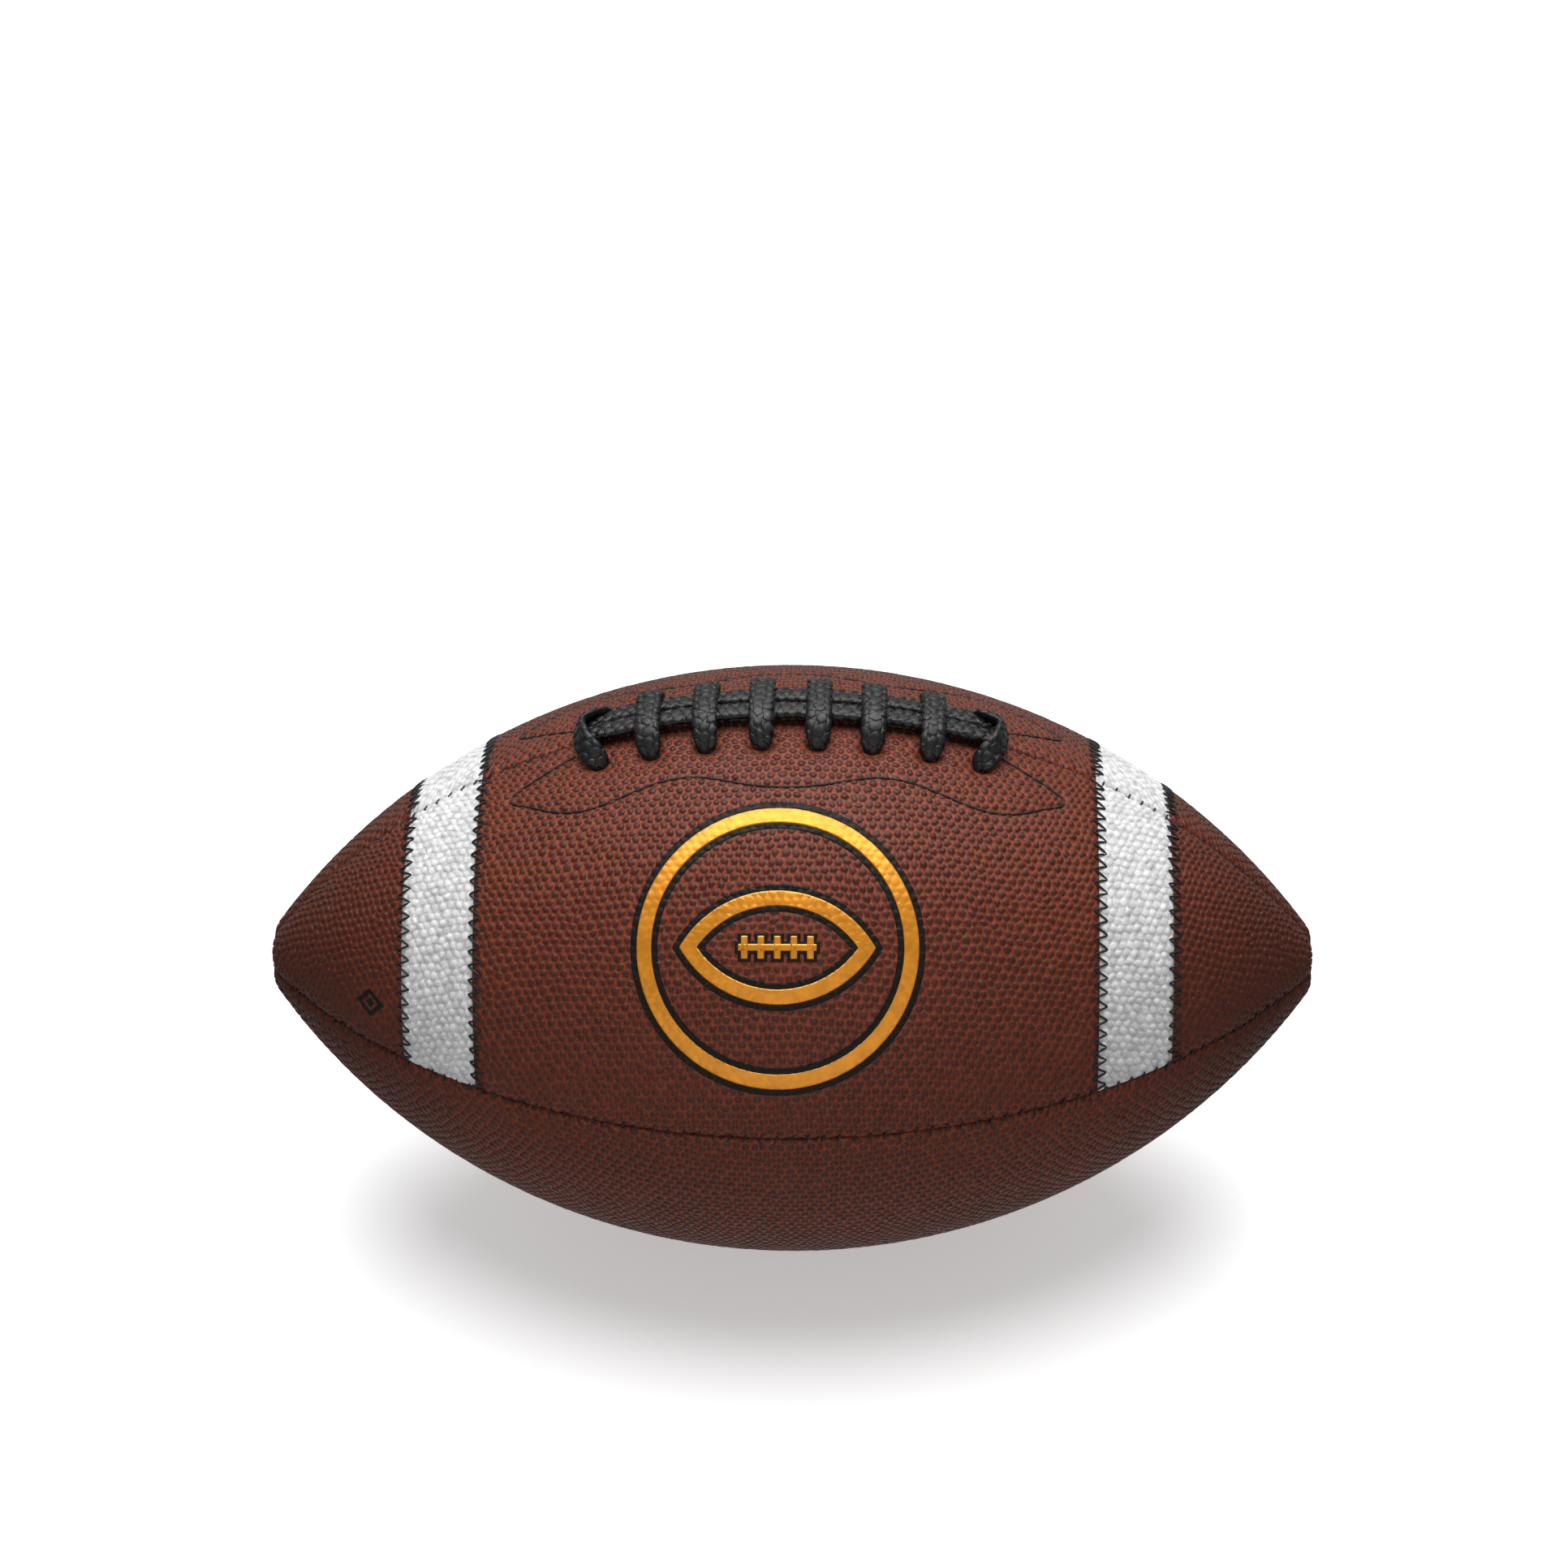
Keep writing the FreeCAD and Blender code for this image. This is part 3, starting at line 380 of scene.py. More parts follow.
# The smallest radius and the widest turn that a sheet is bent to.
LEAST_RADIUS = 0.2 * MM
WIDEST_TURN = 0.55 * math.pi
STEEPEST_LEAN = 0.9
# The stripes: gap beside them, softness of their grain and depth of their edges.
JOINT_GAP = 0.12 * MM
STRIPE_SOFTNESS = 0.5
STRIPE_EDGE = 0.9 * MM
# The seams' stitch holes: their reach from the middle, where the lacing leaves them out, their offset.
SEAM_REACH = 133 * MM
LACED_REACH = 62 * MM
HOLE_OFFSET = 1.25 * MM
# How holes, stitches and stamps press the leather: depth, reach, and how much of the grain goes flat.
SEAM_PRESS = (0.7 * MM, 0.7 * MM, 0.5)
LACE_PRESS = (1.5 * MM, 3.0 * MM, 0.5)
TOPSTITCH_PRESS = (0.5 * MM, 0.8 * MM, 0.6)
EMBLEM_PRESS = (0.05 * MM, 3.7 * MM, 0.85)
MARK_PRESS = (0.05 * MM, 2.4 * MM, 0.9)
# Distances between the points that stand for a pressed line.
TOPSTITCH_STEP = 0.6 * MM
RING_STEPS = 360
BAR_STEPS = 20
MARK_STEPS = 48
# Steps between the topstitch line's given places, and how near a cut a corner counts as on it.
TOPSTITCH_PIECES = 12
CUT_SLACK = 1e-7
# How far each cross strays from even spacing, as lacing by hand leaves it.
LACE_STRAYS = (1.2 * MM, 0.0, 0.4 * MM, 0.6 * MM, 1.0 * MM, 0.8 * MM, 1.7 * MM, 0.3 * MM)
# How far the lacing leans to the rear of the lace seam.
LACE_LEAN = 0.8 * MM
# An end cross's rear hole is nearer to the middle of the ball, and nearer to the seam, than the others'.
FAR_SHIFT = 3.2 * MM
FAR_SHARE = 0.72
# The first seeds for the panels, the stripes and the lace.
PANEL_SEED = 11
STRIPE_SEED = 31
STRAND_SEED = 51
CROSS_SEED = 61


def pebble_sheet(bm, length_span, width_span, spacing, sizes, seed, keeps):
    """A flat sheet of scattered pebbles, x along and y across, with its ink on the pebbles' tops."""
    low, high = length_span
    length = high - low
    rows = int(width_span / (spacing * ROW_STEP))
    columns = int(length / spacing)
    bmesh.ops.create_grid(bm, x_segments=columns, y_segments=rows, size=0.5)
    scatter = random.Random(seed)
    stray = sizes.scatter * spacing
    for vert in bm.verts:
        row = round((vert.co.y + 0.5) * rows)
        column = vert.co.x + 0.5 + (row % 2 - 0.5) * 0.5 / columns
        place = Vector((low + column * length, vert.co.y * width_span, 0.0))
        place += noise.noise_vector((place + Vector((seed, 0, 0))) * DRIFT_SCALE) * (spacing * DRIFT_SHARE)
        place.x += scatter.uniform(-stray, stray)
        place.y += scatter.uniform(-stray, stray)
        place.z = 0.0
        vert.co = place
    outside = [vert for vert in bm.verts if not keeps(vert.co.x, vert.co.y)]
    bmesh.ops.delete(bm, geom=outside, context="VERTS")
    bmesh.ops.triangulate(bm, faces=bm.faces[:], quad_method="SHORT_EDGE", ngon_method="BEAUTY")
    made = bmesh.ops.bevel(
        bm, geom=bm.verts[:], offset=sizes.pebble_share, offset_type="PERCENT", affect="VERTICES", segments=1,
        profile=0.5, material=-1)
    tops = made["faces"]
    ink = bm.verts.layers.float.new("ink")
    shoulder = spacing * sizes.shoulder_inset
    crown = spacing * sizes.crown_inset
    bmesh.ops.inset_individual(
        bm, faces=tops, thickness=shoulder, depth=sizes.shoulder_height, use_even_offset=True)
    for face in tops:
        for vert in face.verts:
            vert[ink] = SHOULDER_INK
    bmesh.ops.inset_individual(
        bm, faces=tops, thickness=crown, depth=sizes.crown_height, use_even_offset=True)
    for face in tops:
        middle = face.calc_center_median()
        growth = scatter.uniform(*TOP_GROWTH)
        rise = scatter.uniform(*TOP_RISE) * MM
        for vert in face.verts:
            vert[ink] = 1.0
            vert.co = middle + (vert.co - middle) * growth
            vert.co.z += rise
    return ink


def bell(distance, reach):
    """1 at no distance, falling smoothly to nothing beyond the reach."""
    return math.exp(-(distance / reach)**2)


def gather(points):
    """A search tree over a list of points."""
    tree = KDTree(max(len(points), 1))
    for index, point in enumerate(points):
        tree.insert(point, index)
    if not points:
        tree.insert(Vector((0, 0, -1)), 0)
    tree.balance()
    return tree


def finish_mesh(bm, name, material, stands_for=()):
    """Turn a bmesh into a smooth, riding piece in its material slot."""
    for face in bm.faces:
        face.smooth = True
    mesh = bpy.data.meshes.new(name)
    bm.to_mesh(mesh)
    bm.free()
    if not mesh.polygons:
        raise RuntimeError(f"{name} has no faces")
    piece = bpy.data.objects.new(name, mesh)
    bpy.context.scene.collection.objects.link(piece)
    mesh.materials.append(material)
    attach(piece, "root")
    if stands_for:
        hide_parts(*stands_for)
    return piece


def cut_at(bm, place, keep_side):
    """Cut a mesh by a plane and keep the side that the direction points to."""
    everything = bm.verts[:] + bm.edges[:] + bm.faces[:]
    bmesh.ops.bisect_plane(
        bm, geom=everything, dist=CUT_SLACK, plane_co=place, plane_no=keep_side, clear_inner=True)


def turn_edge_in(bm, outline, depth):
    """Give a sheet's open edges a wall that goes into the ball."""
    rim = [edge for edge in bm.edges if edge.is_boundary]
    made = bmesh.ops.extrude_edge_only(bm, edges=rim)
    for vert in made["geom"]:
        if isinstance(vert, bmesh.types.BMVert):
            around = Vector((0.0, vert.co.y, vert.co.z - RADIUS))
            if around.length > 1e-6:
                around.normalize()
            lean = min(max(vert.co.x / outline.belly, -STEEPEST_LEAN), STEEPEST_LEAN)
            outward = around * math.sqrt(1 - lean * lean) + Vector((lean, 0, 0))
            vert.co -= outward * depth


def lay_on_ball(bm, outline, sizes, middle, pressed, ends, joints=(), hole=0.0, softness=1.0):
    """Bend a flat pebbled sheet round the ball and press it down at seams, holes, stitches and joints."""
    half_gap = sizes.seam_gap / 2
    roll = sizes.edge_roll
    crown = sizes.shoulder_height + sizes.crown_height
    limit = outline.end - ends
    trees = [(gather(points), depth, reach, flatten) for points, depth, reach, flatten in pressed]
    for vert in bm.verts:
        length, across, height = vert.co
        along, radius, _ = outline.place(length)
        turn = min(max(across / max(radius, LEAST_RADIUS), -WIDEST_TURN), WIDEST_TURN)
        seam = radius * (QUARTER / 2 - abs(turn)) - half_gap
        near_seam = min(max(seam, 0.0), roll)
        relief = SEAM_RELIEF + (1 - SEAM_RELIEF) * smooth_step(seam / SEAM_FADE)
        relief *= smooth_step((radius - NOSE_START) / NOSE_FADE) * (1 - NOSE_RELIEF) + NOSE_RELIEF
        drop = roll - math.sqrt(roll**2 - (roll - near_seam)**2)
        drop += SEAM_DIP[0] * bell(max(seam, 0.0), SEAM_DIP[1])
        for joint in joints:
            gap = abs(abs(along) - joint)
            drop += JOINT_DIP[0] * bell(gap, JOINT_DIP[1])
            relief *= 1 - JOINT_FLAT[0] * bell(gap, JOINT_FLAT[1])
        if hole:
            from_hole = math.hypot(length, across)
            if from_hole < hole:
                vert.co.x *= hole / max(from_hole, NO_LENGTH)
                vert.co.y *= hole / max(from_hole, NO_LENGTH)
                length, across = vert.co.x, vert.co.y
                turn = across / max(outline.place(length)[1], LEAST_RADIUS)
            relief *= HOLE_RELIEF + (1 - HOLE_RELIEF) * smooth_step((from_hole - hole) / HOLE_FADE)
            drop += HOLE_DIP[0] * bell(max(from_hole - hole, 0.0), HOLE_DIP[1])
        length = min(max(length, -limit), limit)
        place, outward = outline.point(length, middle + turn, 0.0)
        for tree, depth, reach, flatten in trees:
            near = tree.find(place)[2]
            if near < 3 * reach:
                press = bell(near, reach)
                drop += depth * press
                relief *= 1 - flatten * press
        relief *= softness
        seat = crown * GRAIN_SEAT * min(relief + GRAIN_SEAT_SPARE, 1.0)
        vert.co = place + outward * (height * relief - seat - drop)


def seam_cuts(bm, middle, sizes):
    """Cut a bent sheet along the two seams beside it."""
    for turn, way in ((middle - QUARTER / 2, 1), (middle + QUARTER / 2, -1)):
        inward = Vector((0.0, -math.cos(turn), -math.sin(turn))) * way
        cut_at(bm, Vector((0, 0, RADIUS)) + inward * (sizes.seam_gap / 2), inward)


def middle_angle(name):
    side, quarter = PANELS[name]
    return side * quarter * QUARTER


def cross_place(lace, index):
    """Where a cross stands along the ball."""
    stray = LACE_STRAYS[index % len(LACE_STRAYS)]
    return (index - (lace.lace_count - 1) / 2) * lace.lace_pitch + stray


def hole_places(lace, side):
    """Each lace hole on one side of the lace seam, as (along, distance from the seam)."""
    places = []
    for index in range(lace.lace_count):
        along = cross_place(lace, index)
        reach = lace.slot_distance
        if side == REAR:
            reach += LACE_LEAN
            if index == 0:
                along += FAR_SHIFT
                reach *= FAR_SHARE
            if index == lace.lace_count - 1:
                along -= FAR_SHIFT
                reach *= FAR_SHARE
        places.append((along, reach))
    return places


def lace_holes(outline, lace, side):
    """The places where the lace dives through one upper panel."""
    return [
        outline.point(outline.length_at(along), side * reach / RADIUS)[0]
        for along, reach in hole_places(lace, side)]


def seam_holes(outline, stitches, number, side):
    """Places of the seam's stitch holes beside one seam."""
    holes = []
    reach = outline.length_at(SEAM_REACH)
    count = int(2 * reach / stitches.seam_pitch)
    for index in range(count + 1):
        length = -reach + index * 2 * reach / count
        if number == 0 and abs(length) < LACED_REACH:
            continue
        radius = outline.place(length)[1]
        holes.append(outline.point(length, number * QUARTER + side * HOLE_OFFSET / radius)[0])
    return holes


def pressed_places(name, outline, scene):
    """What presses a panel's leather down: lace holes, topstitching and seam stitch holes."""
    side, quarter = PANELS[name]
    stitches = scene.football_stitches
    pressed = []
    low = round((quarter - 0.5) * side) % 4
    high = round((quarter + 0.5) * side) % 4
    holes = seam_holes(outline, stitches, low, side) + seam_holes(outline, stitches, high, -side)
    pressed.append((holes, *SEAM_PRESS))
    if quarter < 1:
        pressed.append((lace_holes(outline, scene.football_lace, side), *LACE_PRESS))
        line = [place for place, _ in topstitch_places(outline, TOPSTITCH_STEP, side)]
        pressed.append((line, *TOPSTITCH_PRESS))
    if name == "front_upper":
        pressed.append((emblem_line(outline, scene.football_emblem), *EMBLEM_PRESS))
        pressed.append((mark_line(outline, scene.football_emblem), *MARK_PRESS))
    return pressed


def emblem_line(outline, emblem):
    """Points along the middle of the emblem's strokes, where stamping has pressed the leather smooth."""
    middle = emblem.stroke / 2
    flat = []
    for radius in (round_outline(emblem.ring_radius - middle), ball_outline(emblem, -middle)):
        for step in range(RING_STEPS):
            angle = step * 2 * math.pi / RING_STEPS
            flat.append((radius(angle) * math.cos(angle), radius(angle) * math.sin(angle)))
    for x0, y0, x1, y1 in badge_lacing(emblem):
        for step in range(BAR_STEPS + 1):
            share = step / BAR_STEPS
            flat.append((x0 + (x1 - x0) * share, y0 + (y1 - y0) * share))
    return stamped(outline, flat, emblem.emblem_along, emblem.emblem_angle)


def mark_line(outline, emblem):
    """Points along the middle of the small mark's outline."""
    radius = diamond_outline(emblem.mark_size * MARK_MIDDLE)
    turns = [step * 2 * math.pi / MARK_STEPS for step in range(MARK_STEPS)]
    flat = [(radius(turn) * math.cos(turn), radius(turn) * math.sin(turn)) for turn in turns]
    return stamped(outline, flat, emblem.mark_along, emblem.mark_angle)


def stamped(outline, flat, middle, angle):
    """Flat points laid on the ball's surface round a place."""
    outward = Vector((0, -math.sin(angle), math.cos(angle)))
    down = Vector((0, -math.cos(angle), -math.sin(angle)))
    points = []
    for along, across in flat:
        place = middle + along
        radius = outline.place(outline.length_at(place))[1]
        height = math.sqrt(radius**2 - across**2)
        points.append(Vector((place, 0, RADIUS)) - down * across + outward * height)
    return points


def make_panel(name, scene, material):
    """One brown panel of the cover."""
    form = scene.football_form
    sizes = scene.football_leather
    outline = Outline(form)
    middle = middle_angle(name)
    end = outline.end - form.nose_opening
    joints = ()
    if PANELS[name][1] < 1:
        joints = (form.stripe_start, form.stripe_start + form.stripe_width)
    hole = form.valve_radius if name == "rear_upper" else 0.0

    def keeps(length, across):
        return abs(across) < outline.place(length)[1] * QUARTER / 2 + SHEET_MARGIN

    bm = bmesh.new()
    seed = PANEL_SEED + list(PANELS).index(name)
    span = (-outline.end - SHEET_OVERHANG, outline.end + SHEET_OVERHANG)
    pebble_sheet(bm, span, SHEET_WIDTH, sizes.pebble_spacing, sizes, seed, keeps)
    for way in (-1, 1):
        cut_at(bm, Vector((way * end, 0, 0)), Vector((-way, 0, 0)))
    inside = [face for face in bm.faces if all(vert.co.xy.length < hole for vert in face.verts)]
    bmesh.ops.delete(bm, geom=inside, context="FACES")
    pressed = pressed_places(name, outline, scene)
    lay_on_ball(bm, outline, sizes, middle, pressed, form.nose_opening, joints, hole)
    seam_cuts(bm, middle, sizes)
    if joints:
        for _, way in ENDS:
            for joint in joints:
                geometry = bm.verts[:] + bm.edges[:] + bm.faces[:]
                bmesh.ops.bisect_plane(
                    bm, geom=geometry, dist=CUT_SLACK, plane_co=(way * joint, 0, 0), plane_no=(1, 0, 0))
        under = [face for face in bm.faces if joints[0] < abs(face.calc_center_median().x) < joints[1]]
        bmesh.ops.delete(bm, geom=under, context="FACES")
    turn_edge_in(bm, outline, sizes.cover_thickness)
    return finish_mesh(bm, f"{name}_leather", material, (f"{name}_panel",))


def make_stripe(side_name, side, end_name, way, scene, material):
    """One white stripe, let into an upper panel."""
    form = scene.football_form
    sizes = scene.football_leather
    outline = Outline(form)
    middle = side * QUARTER / 2
    first = form.stripe_start + JOINT_GAP
    last = form.stripe_start + form.stripe_width - JOINT_GAP
    span = sorted(
        way * outline.length_at(place) for place in (first - SHEET_OVERHANG, last + SHEET_OVERHANG))

    def keeps(length, across):
        return abs(across) < outline.place(length)[1] * QUARTER / 2 + SHEET_MARGIN

    bm = bmesh.new()
    seed = STRIPE_SEED + 2 * side + way
    pebble_sheet(bm, span, SHEET_WIDTH, sizes.pebble_spacing, sizes, seed, keeps)
    name = f"{side_name}_upper"
    joints = (form.stripe_start, form.stripe_start + form.stripe_width)
    pressed = pressed_places(name, outline, scene)
    lay_on_ball(bm, outline, sizes, middle, pressed, form.nose_opening, joints, softness=STRIPE_SOFTNESS)
    seam_cuts(bm, middle, sizes)
    cut_at(bm, Vector((way * first, 0, 0)), Vector((way, 0, 0)))
    cut_at(bm, Vector((way * last, 0, 0)), Vector((-way, 0, 0)))
    turn_edge_in(bm, outline, STRIPE_EDGE)
    node = f"{side_name}_{end_name}_stripe"
    return finish_mesh(bm, f"{node}_leather", material, (node,))


# ---------------------------------------------------------------- sewing

# A stitch: its steps round and along, and how full it stays towards its ends.
STITCH_ROUND = 8
STITCH_LONG = 7
STITCH_FULLNESS = 0.62
# The zigzag: its shares left and right of the edge, its rise, its sink and its margin at the seams.
ZIGZAG_LEFT = 0.37
ZIGZAG_RIGHT = 0.63
ZIGZAG_RISE = 0.68
ZIGZAG_SINK = 0.16 * MM
ZIGZAG_MARGIN = 1.2 * MM
# How deep the topstitch and the seam stitches lie, how they arch, and how the seam stitches lean.
TOPSTITCH_SINK = 0.46 * MM
TOPSTITCH_ARCH = 0.12 * MM
SEAM_SINK = 0.8 * MM
SEAM_ARCH = -0.1 * MM
SEAM_LEAN = 0.45 * MM


def add_stitch(bm, start, stop, outward, thread, arch=0.0):
    """One thread from hole to hole, thick in the middle and diving in at both ends."""
    forward = stop - start
    length = forward.length
    forward.normalize()
    across = outward.cross(forward).normalized()
    upward = forward.cross(across)
    made = bmesh.ops.create_uvsphere(bm, u_segments=STITCH_ROUND, v_segments=STITCH_LONG, radius=0.5)
    for vert in made["verts"]:
        along = math.copysign(min(abs(vert.co.z) * 2, 1.0)**STITCH_FULLNESS, vert.co.z) / 2
        bend = arch * (1 - (2 * along)**2)
        vert.co = (
            (start + stop) / 2 + forward * along * length + across * vert.co.x * thread
            + upward * (vert.co.y * thread + bend))


def sew_zigzag(side_name, side, end_name, way, scene, material):
    """Zigzag along both edges of one stripe."""
    form = scene.football_form
    stitches = scene.football_stitches
    outline = Outline(form)
    bm = bmesh.new()
    for joint in (form.stripe_start, form.stripe_start + form.stripe_width):
        left = outline.length_at(way * joint - stitches.zigzag_width * ZIGZAG_LEFT)
        right = outline.length_at(way * joint + stitches.zigzag_width * ZIGZAG_RIGHT)
        radius = outline.place(outline.length_at(joint))[1]
        margin = ZIGZAG_MARGIN / radius
        count = int((QUARTER - 2 * margin) * radius / stitches.zigzag_pitch)
        step = side * (QUARTER - 2 * margin) / count
        for tooth in range(count):
            turn = side * margin + tooth * step
            places = ((left, turn), (right, turn + step * ZIGZAG_RISE), (left, turn + step))
            for (first, begin), (second, finish) in zip(places, places[1:]):
                start, outward = outline.point(first, begin, -ZIGZAG_SINK)
                stop, _ = outline.point(second, finish, -ZIGZAG_SINK)
                add_stitch(bm, start, stop, outward, stitches.zigzag_thread, ZIGZAG_SINK)
    node = f"{side_name}_{end_name}_stripe_stitching"
    return finish_mesh(bm, f"{side_name}_{end_name}_zigzag", material, (node,))


def sew_topstitch(side_name, side, scene, material):
    """The line of stitches round the lacing on one upper panel."""
    stitches = scene.football_stitches
    outline = Outline(scene.football_form)
    bm = bmesh.new()
    places = topstitch_places(outline, stitches.topstitch_length, side)
    for (start, outward), (stop, _) in zip(places, places[1:]):
        sink = outward * TOPSTITCH_SINK
        add_stitch(bm, start - sink, stop - sink, outward, stitches.topstitch_thread, TOPSTITCH_ARCH)
    node = f"{side_name}_facing_stitching"
    return finish_mesh(bm, f"{side_name}_topstitch", material, (node,))


def sew_seam(name, number, scene, material):
    """Slanted stitches across the groove of one panel seam."""
    stitches = scene.football_stitches
    outline = Outline(scene.football_form)
    bm = bmesh.new()
    near = seam_holes(outline, stitches, number, 1)
    far = seam_holes(outline, stitches, number, -1)
    for start, stop in zip(near, far):
        middle = (start + stop) / 2
        outward = Vector((middle.x / outline.belly, 0, 0))
        outward += Vector((0, middle.y, middle.z - RADIUS)).normalized() * math.sqrt(1 - outward.x**2)
        lean = Vector((SEAM_LEAN, 0, 0))
        sink = outward * SEAM_SINK
        add_stitch(bm, start - lean - sink, stop + lean - sink, outward, stitches.seam_thread, SEAM_ARCH)
    return finish_mesh(bm, f"{name}_seam_stitches", material, (f"{name}_seam_thread",))


# ---------------------------------------------------------------- lacing

# The steps between two given places of the lace's path.
PATH_STEPS = 8
# The least flat width of a lace, where its bumps fade on its sides, and how deep they sit.
LEAST_FLAT = 0.05 * MM
SIDE_START = 0.1
SIDE_FADE = 0.8
BUMP_SEAT = 0.12 * MM
# The strands: clearance over the leather, overhang past the end crosses, gap, swell and places.
STRAND_CLEARANCE = 1.4 * MM
STRAND_OVERHANG = 3.6 * MM
STRAND_GAP = 0.25 * MM
STRAND_SWELL = 0.4 * MM
STRAND_PLACES = 15
# From a hole to a cross's shoulder: distance in from the hole, share of the bow, and share of the roll.
CROSS_INS = (-0.1 * MM, 0.0, 0.7 * MM, 2.4 * MM, 6.4 * MM)
CROSS_BENDS = (0.0, 0.0, 0.12, 0.4, 0.8)
CROSS_ROLLS = (0.0, 0.1, 0.25, 0.5, 0.8)
# The same places' heights and widths: the rest of them are as high and as wide as the cross itself.
CROSS_RISE = (-3.0 * MM, -1.0 * MM, 0.9 * MM, 2.8 * MM)
CROSS_WIDTHS = (3.6 * MM, 4.6 * MM, 6.2 * MM)
SHOULDER_DROP = 0.35 * MM
CREST_ROLL = 0.95
END_DROP = 0.9 * MM


def pebbled_strap(bm, path, widths, rolls, thickness, sizes, spacing, seed):
    """A length of lace along a path of (point, outward) with its width and roll at each place."""
    lengths = [0.0]
    for (first, _), (second, _) in zip(path, path[1:]):
        lengths.append(lengths[-1] + (second - first).length)
    total = lengths[-1]
    widest = max(widths)
    girth = 2 * (widest - thickness) + math.pi * thickness
    part = bmesh.new()
    span = (-spacing, total + spacing)
    pebble_sheet(part, span, girth + 2 * spacing, spacing, sizes, seed, lambda along, across: True)
    for place, keep in (((0, 0, 0), (1, 0, 0)), ((total, 0, 0), (-1, 0, 0)),
                        ((0, -girth / 2, 0), (0, 1, 0)), ((0, girth / 2, 0), (0, -1, 0))):
        cut_at(part, Vector(place), Vector(keep))
    last = len(path) - 2
    half = thickness / 2
    for vert in part.verts:
        at, around, height = vert.co
        at = min(max(at, 0.0), total)
        index = min(max(sum(1 for value in lengths[1:-1] if value <= at), 0), last)
        share = (at - lengths[index]) / (lengths[index + 1] - lengths[index])
        start, up_start = path[index]
        stop, up_stop = path[index + 1]
        before = path[max(index - 1, 0)][0]
        after = path[min(index + 2, last + 1)][0]
        forward = (stop - before).normalized().lerp((after - start).normalized(), share).normalized()
        width = widths[index] + (widths[index + 1] - widths[index]) * share
        roll = rolls[index] + (rolls[index + 1] - rolls[index]) * share
        outward = up_start.lerp(up_stop, share)
        outward = (outward - forward * outward.dot(forward)).normalized()
        sideways = forward.cross(outward)
        cos_roll, sin_roll = math.cos(roll), math.sin(roll)
        outward, sideways = (
            outward * cos_roll + sideways * sin_roll,
            sideways * cos_roll - outward * sin_roll)
        flat = max(width / 2 - half, LEAST_FLAT)
        scale = (2 * flat * 2 + math.pi * thickness) / girth
        around_here = abs(around) * scale
        if around_here <= flat:
            x, y, nx, ny = around_here, half, 0.0, 1.0
        elif around_here <= flat + math.pi * half:
            bend = (around_here - flat) / half
            x, y = flat + half * math.sin(bend), half * math.cos(bend)
            nx, ny = math.sin(bend), math.cos(bend)
        else:
            x, y, nx, ny = max(2 * flat + math.pi * half - around_here, 0.0), -half, 0.0, -1.0
        way = math.copysign(1.0, around)
        relief = smooth_step((ny - SIDE_START) / SIDE_FADE)
        lift = height * relief - BUMP_SEAT
        centre = start.lerp(stop, share)
        vert.co = centre + sideways * (way * (x + nx * lift)) + outward * (y + ny * lift)
    mesh = bpy.data.meshes.new("part")
    part.to_mesh(mesh)
    part.free()
    bm.from_mesh(mesh)
    bpy.data.meshes.remove(mesh)


def lace_path(outline, places):
    """Smooth path of (point, outward) through places given as (along, across the seam, height)."""
    path = []
    for along, across, height in smooth_path([Vector(place) for place in places], PATH_STEPS):
        turn = across / RADIUS
        path.append(outline.point(outline.length_at(along), turn, height))
    return path


def spread(values):
    """Values eased between the given ones, in step with a lace's path."""
    points = [Vector((value, 0, 0)) for value in values]
    return [point.x for point in smooth_path(points, PATH_STEPS)]


def make_lace(scene, material):
    """Two strands along the seam, six crosses and two bowed end crosses."""
    lace = scene.football_lace
    sizes = scene.football_lace_grain
    outline = Outline(scene.football_form)
    bm = bmesh.new()
    half = lace.lace_thickness / 2
    low = half + STRAND_CLEARANCE
    high = lace.cross_height - half
    last = lace.lace_count - 1
    ends = (cross_place(lace, 0) - STRAND_OVERHANG, cross_place(lace, last) + STRAND_OVERHANG)
    middle = sum(ends) / 2
    reach = (ends[1] - ends[0]) / 2
    for side in (1, -1):
        offset = side * (lace.strand_width + STRAND_GAP) / 2 - LACE_LEAN
        places = []
        for index in range(STRAND_PLACES):
            share = index / (STRAND_PLACES // 2) - 1
            places.append((middle + reach * share, offset, low + STRAND_SWELL * (1 - share**6)))
        path = lace_path(outline, places)
        widths = [lace.strand_width] * len(path)
        rolls = [0.0] * len(path)
        pebbled_strap(
            bm, path, widths, rolls, lace.lace_thickness, sizes, lace.bump_spacing, STRAND_SEED + side)
    heights = (*CROSS_RISE, high - SHOULDER_DROP)
    breadths = (*CROSS_WIDTHS, lace.lace_width, lace.lace_width)
    fronts = hole_places(lace, FRONT)
    rears = hole_places(lace, REAR)
    for index in range(lace.lace_count):
        way = -1 if index == 0 else 1 if index == last else 0
        crest = high - END_DROP * abs(way)
        near, near_reach = fronts[index]
        far, far_reach = rears[index]
        bow = way * lace.end_bow
        down = [
            (near + bow * bend, near_reach - into, min(height, crest))
            for into, height, bend in zip(CROSS_INS, heights, CROSS_BENDS)]
        up = [
            (far + (near - far) * bend + bow * bend, -(far_reach - into), min(height, crest))
            for into, height, bend in zip(CROSS_INS, heights, CROSS_BENDS)]
        places = down + [(near + bow, -LACE_LEAN / 2, crest)] + up[::-1]
        path = lace_path(outline, places)
        widths = spread([*breadths, lace.lace_width, *reversed(breadths)])
        rolls = spread([way * roll for roll in (*CROSS_ROLLS, CREST_ROLL, *reversed(CROSS_ROLLS))])
        pebbled_strap(
            bm, path, widths, rolls, lace.lace_thickness, sizes, lace.bump_spacing, CROSS_SEED + index)
    return finish_mesh(bm, "pebbled_lace", material, ("lace",))


# ---------------------------------------------------------------- emblem

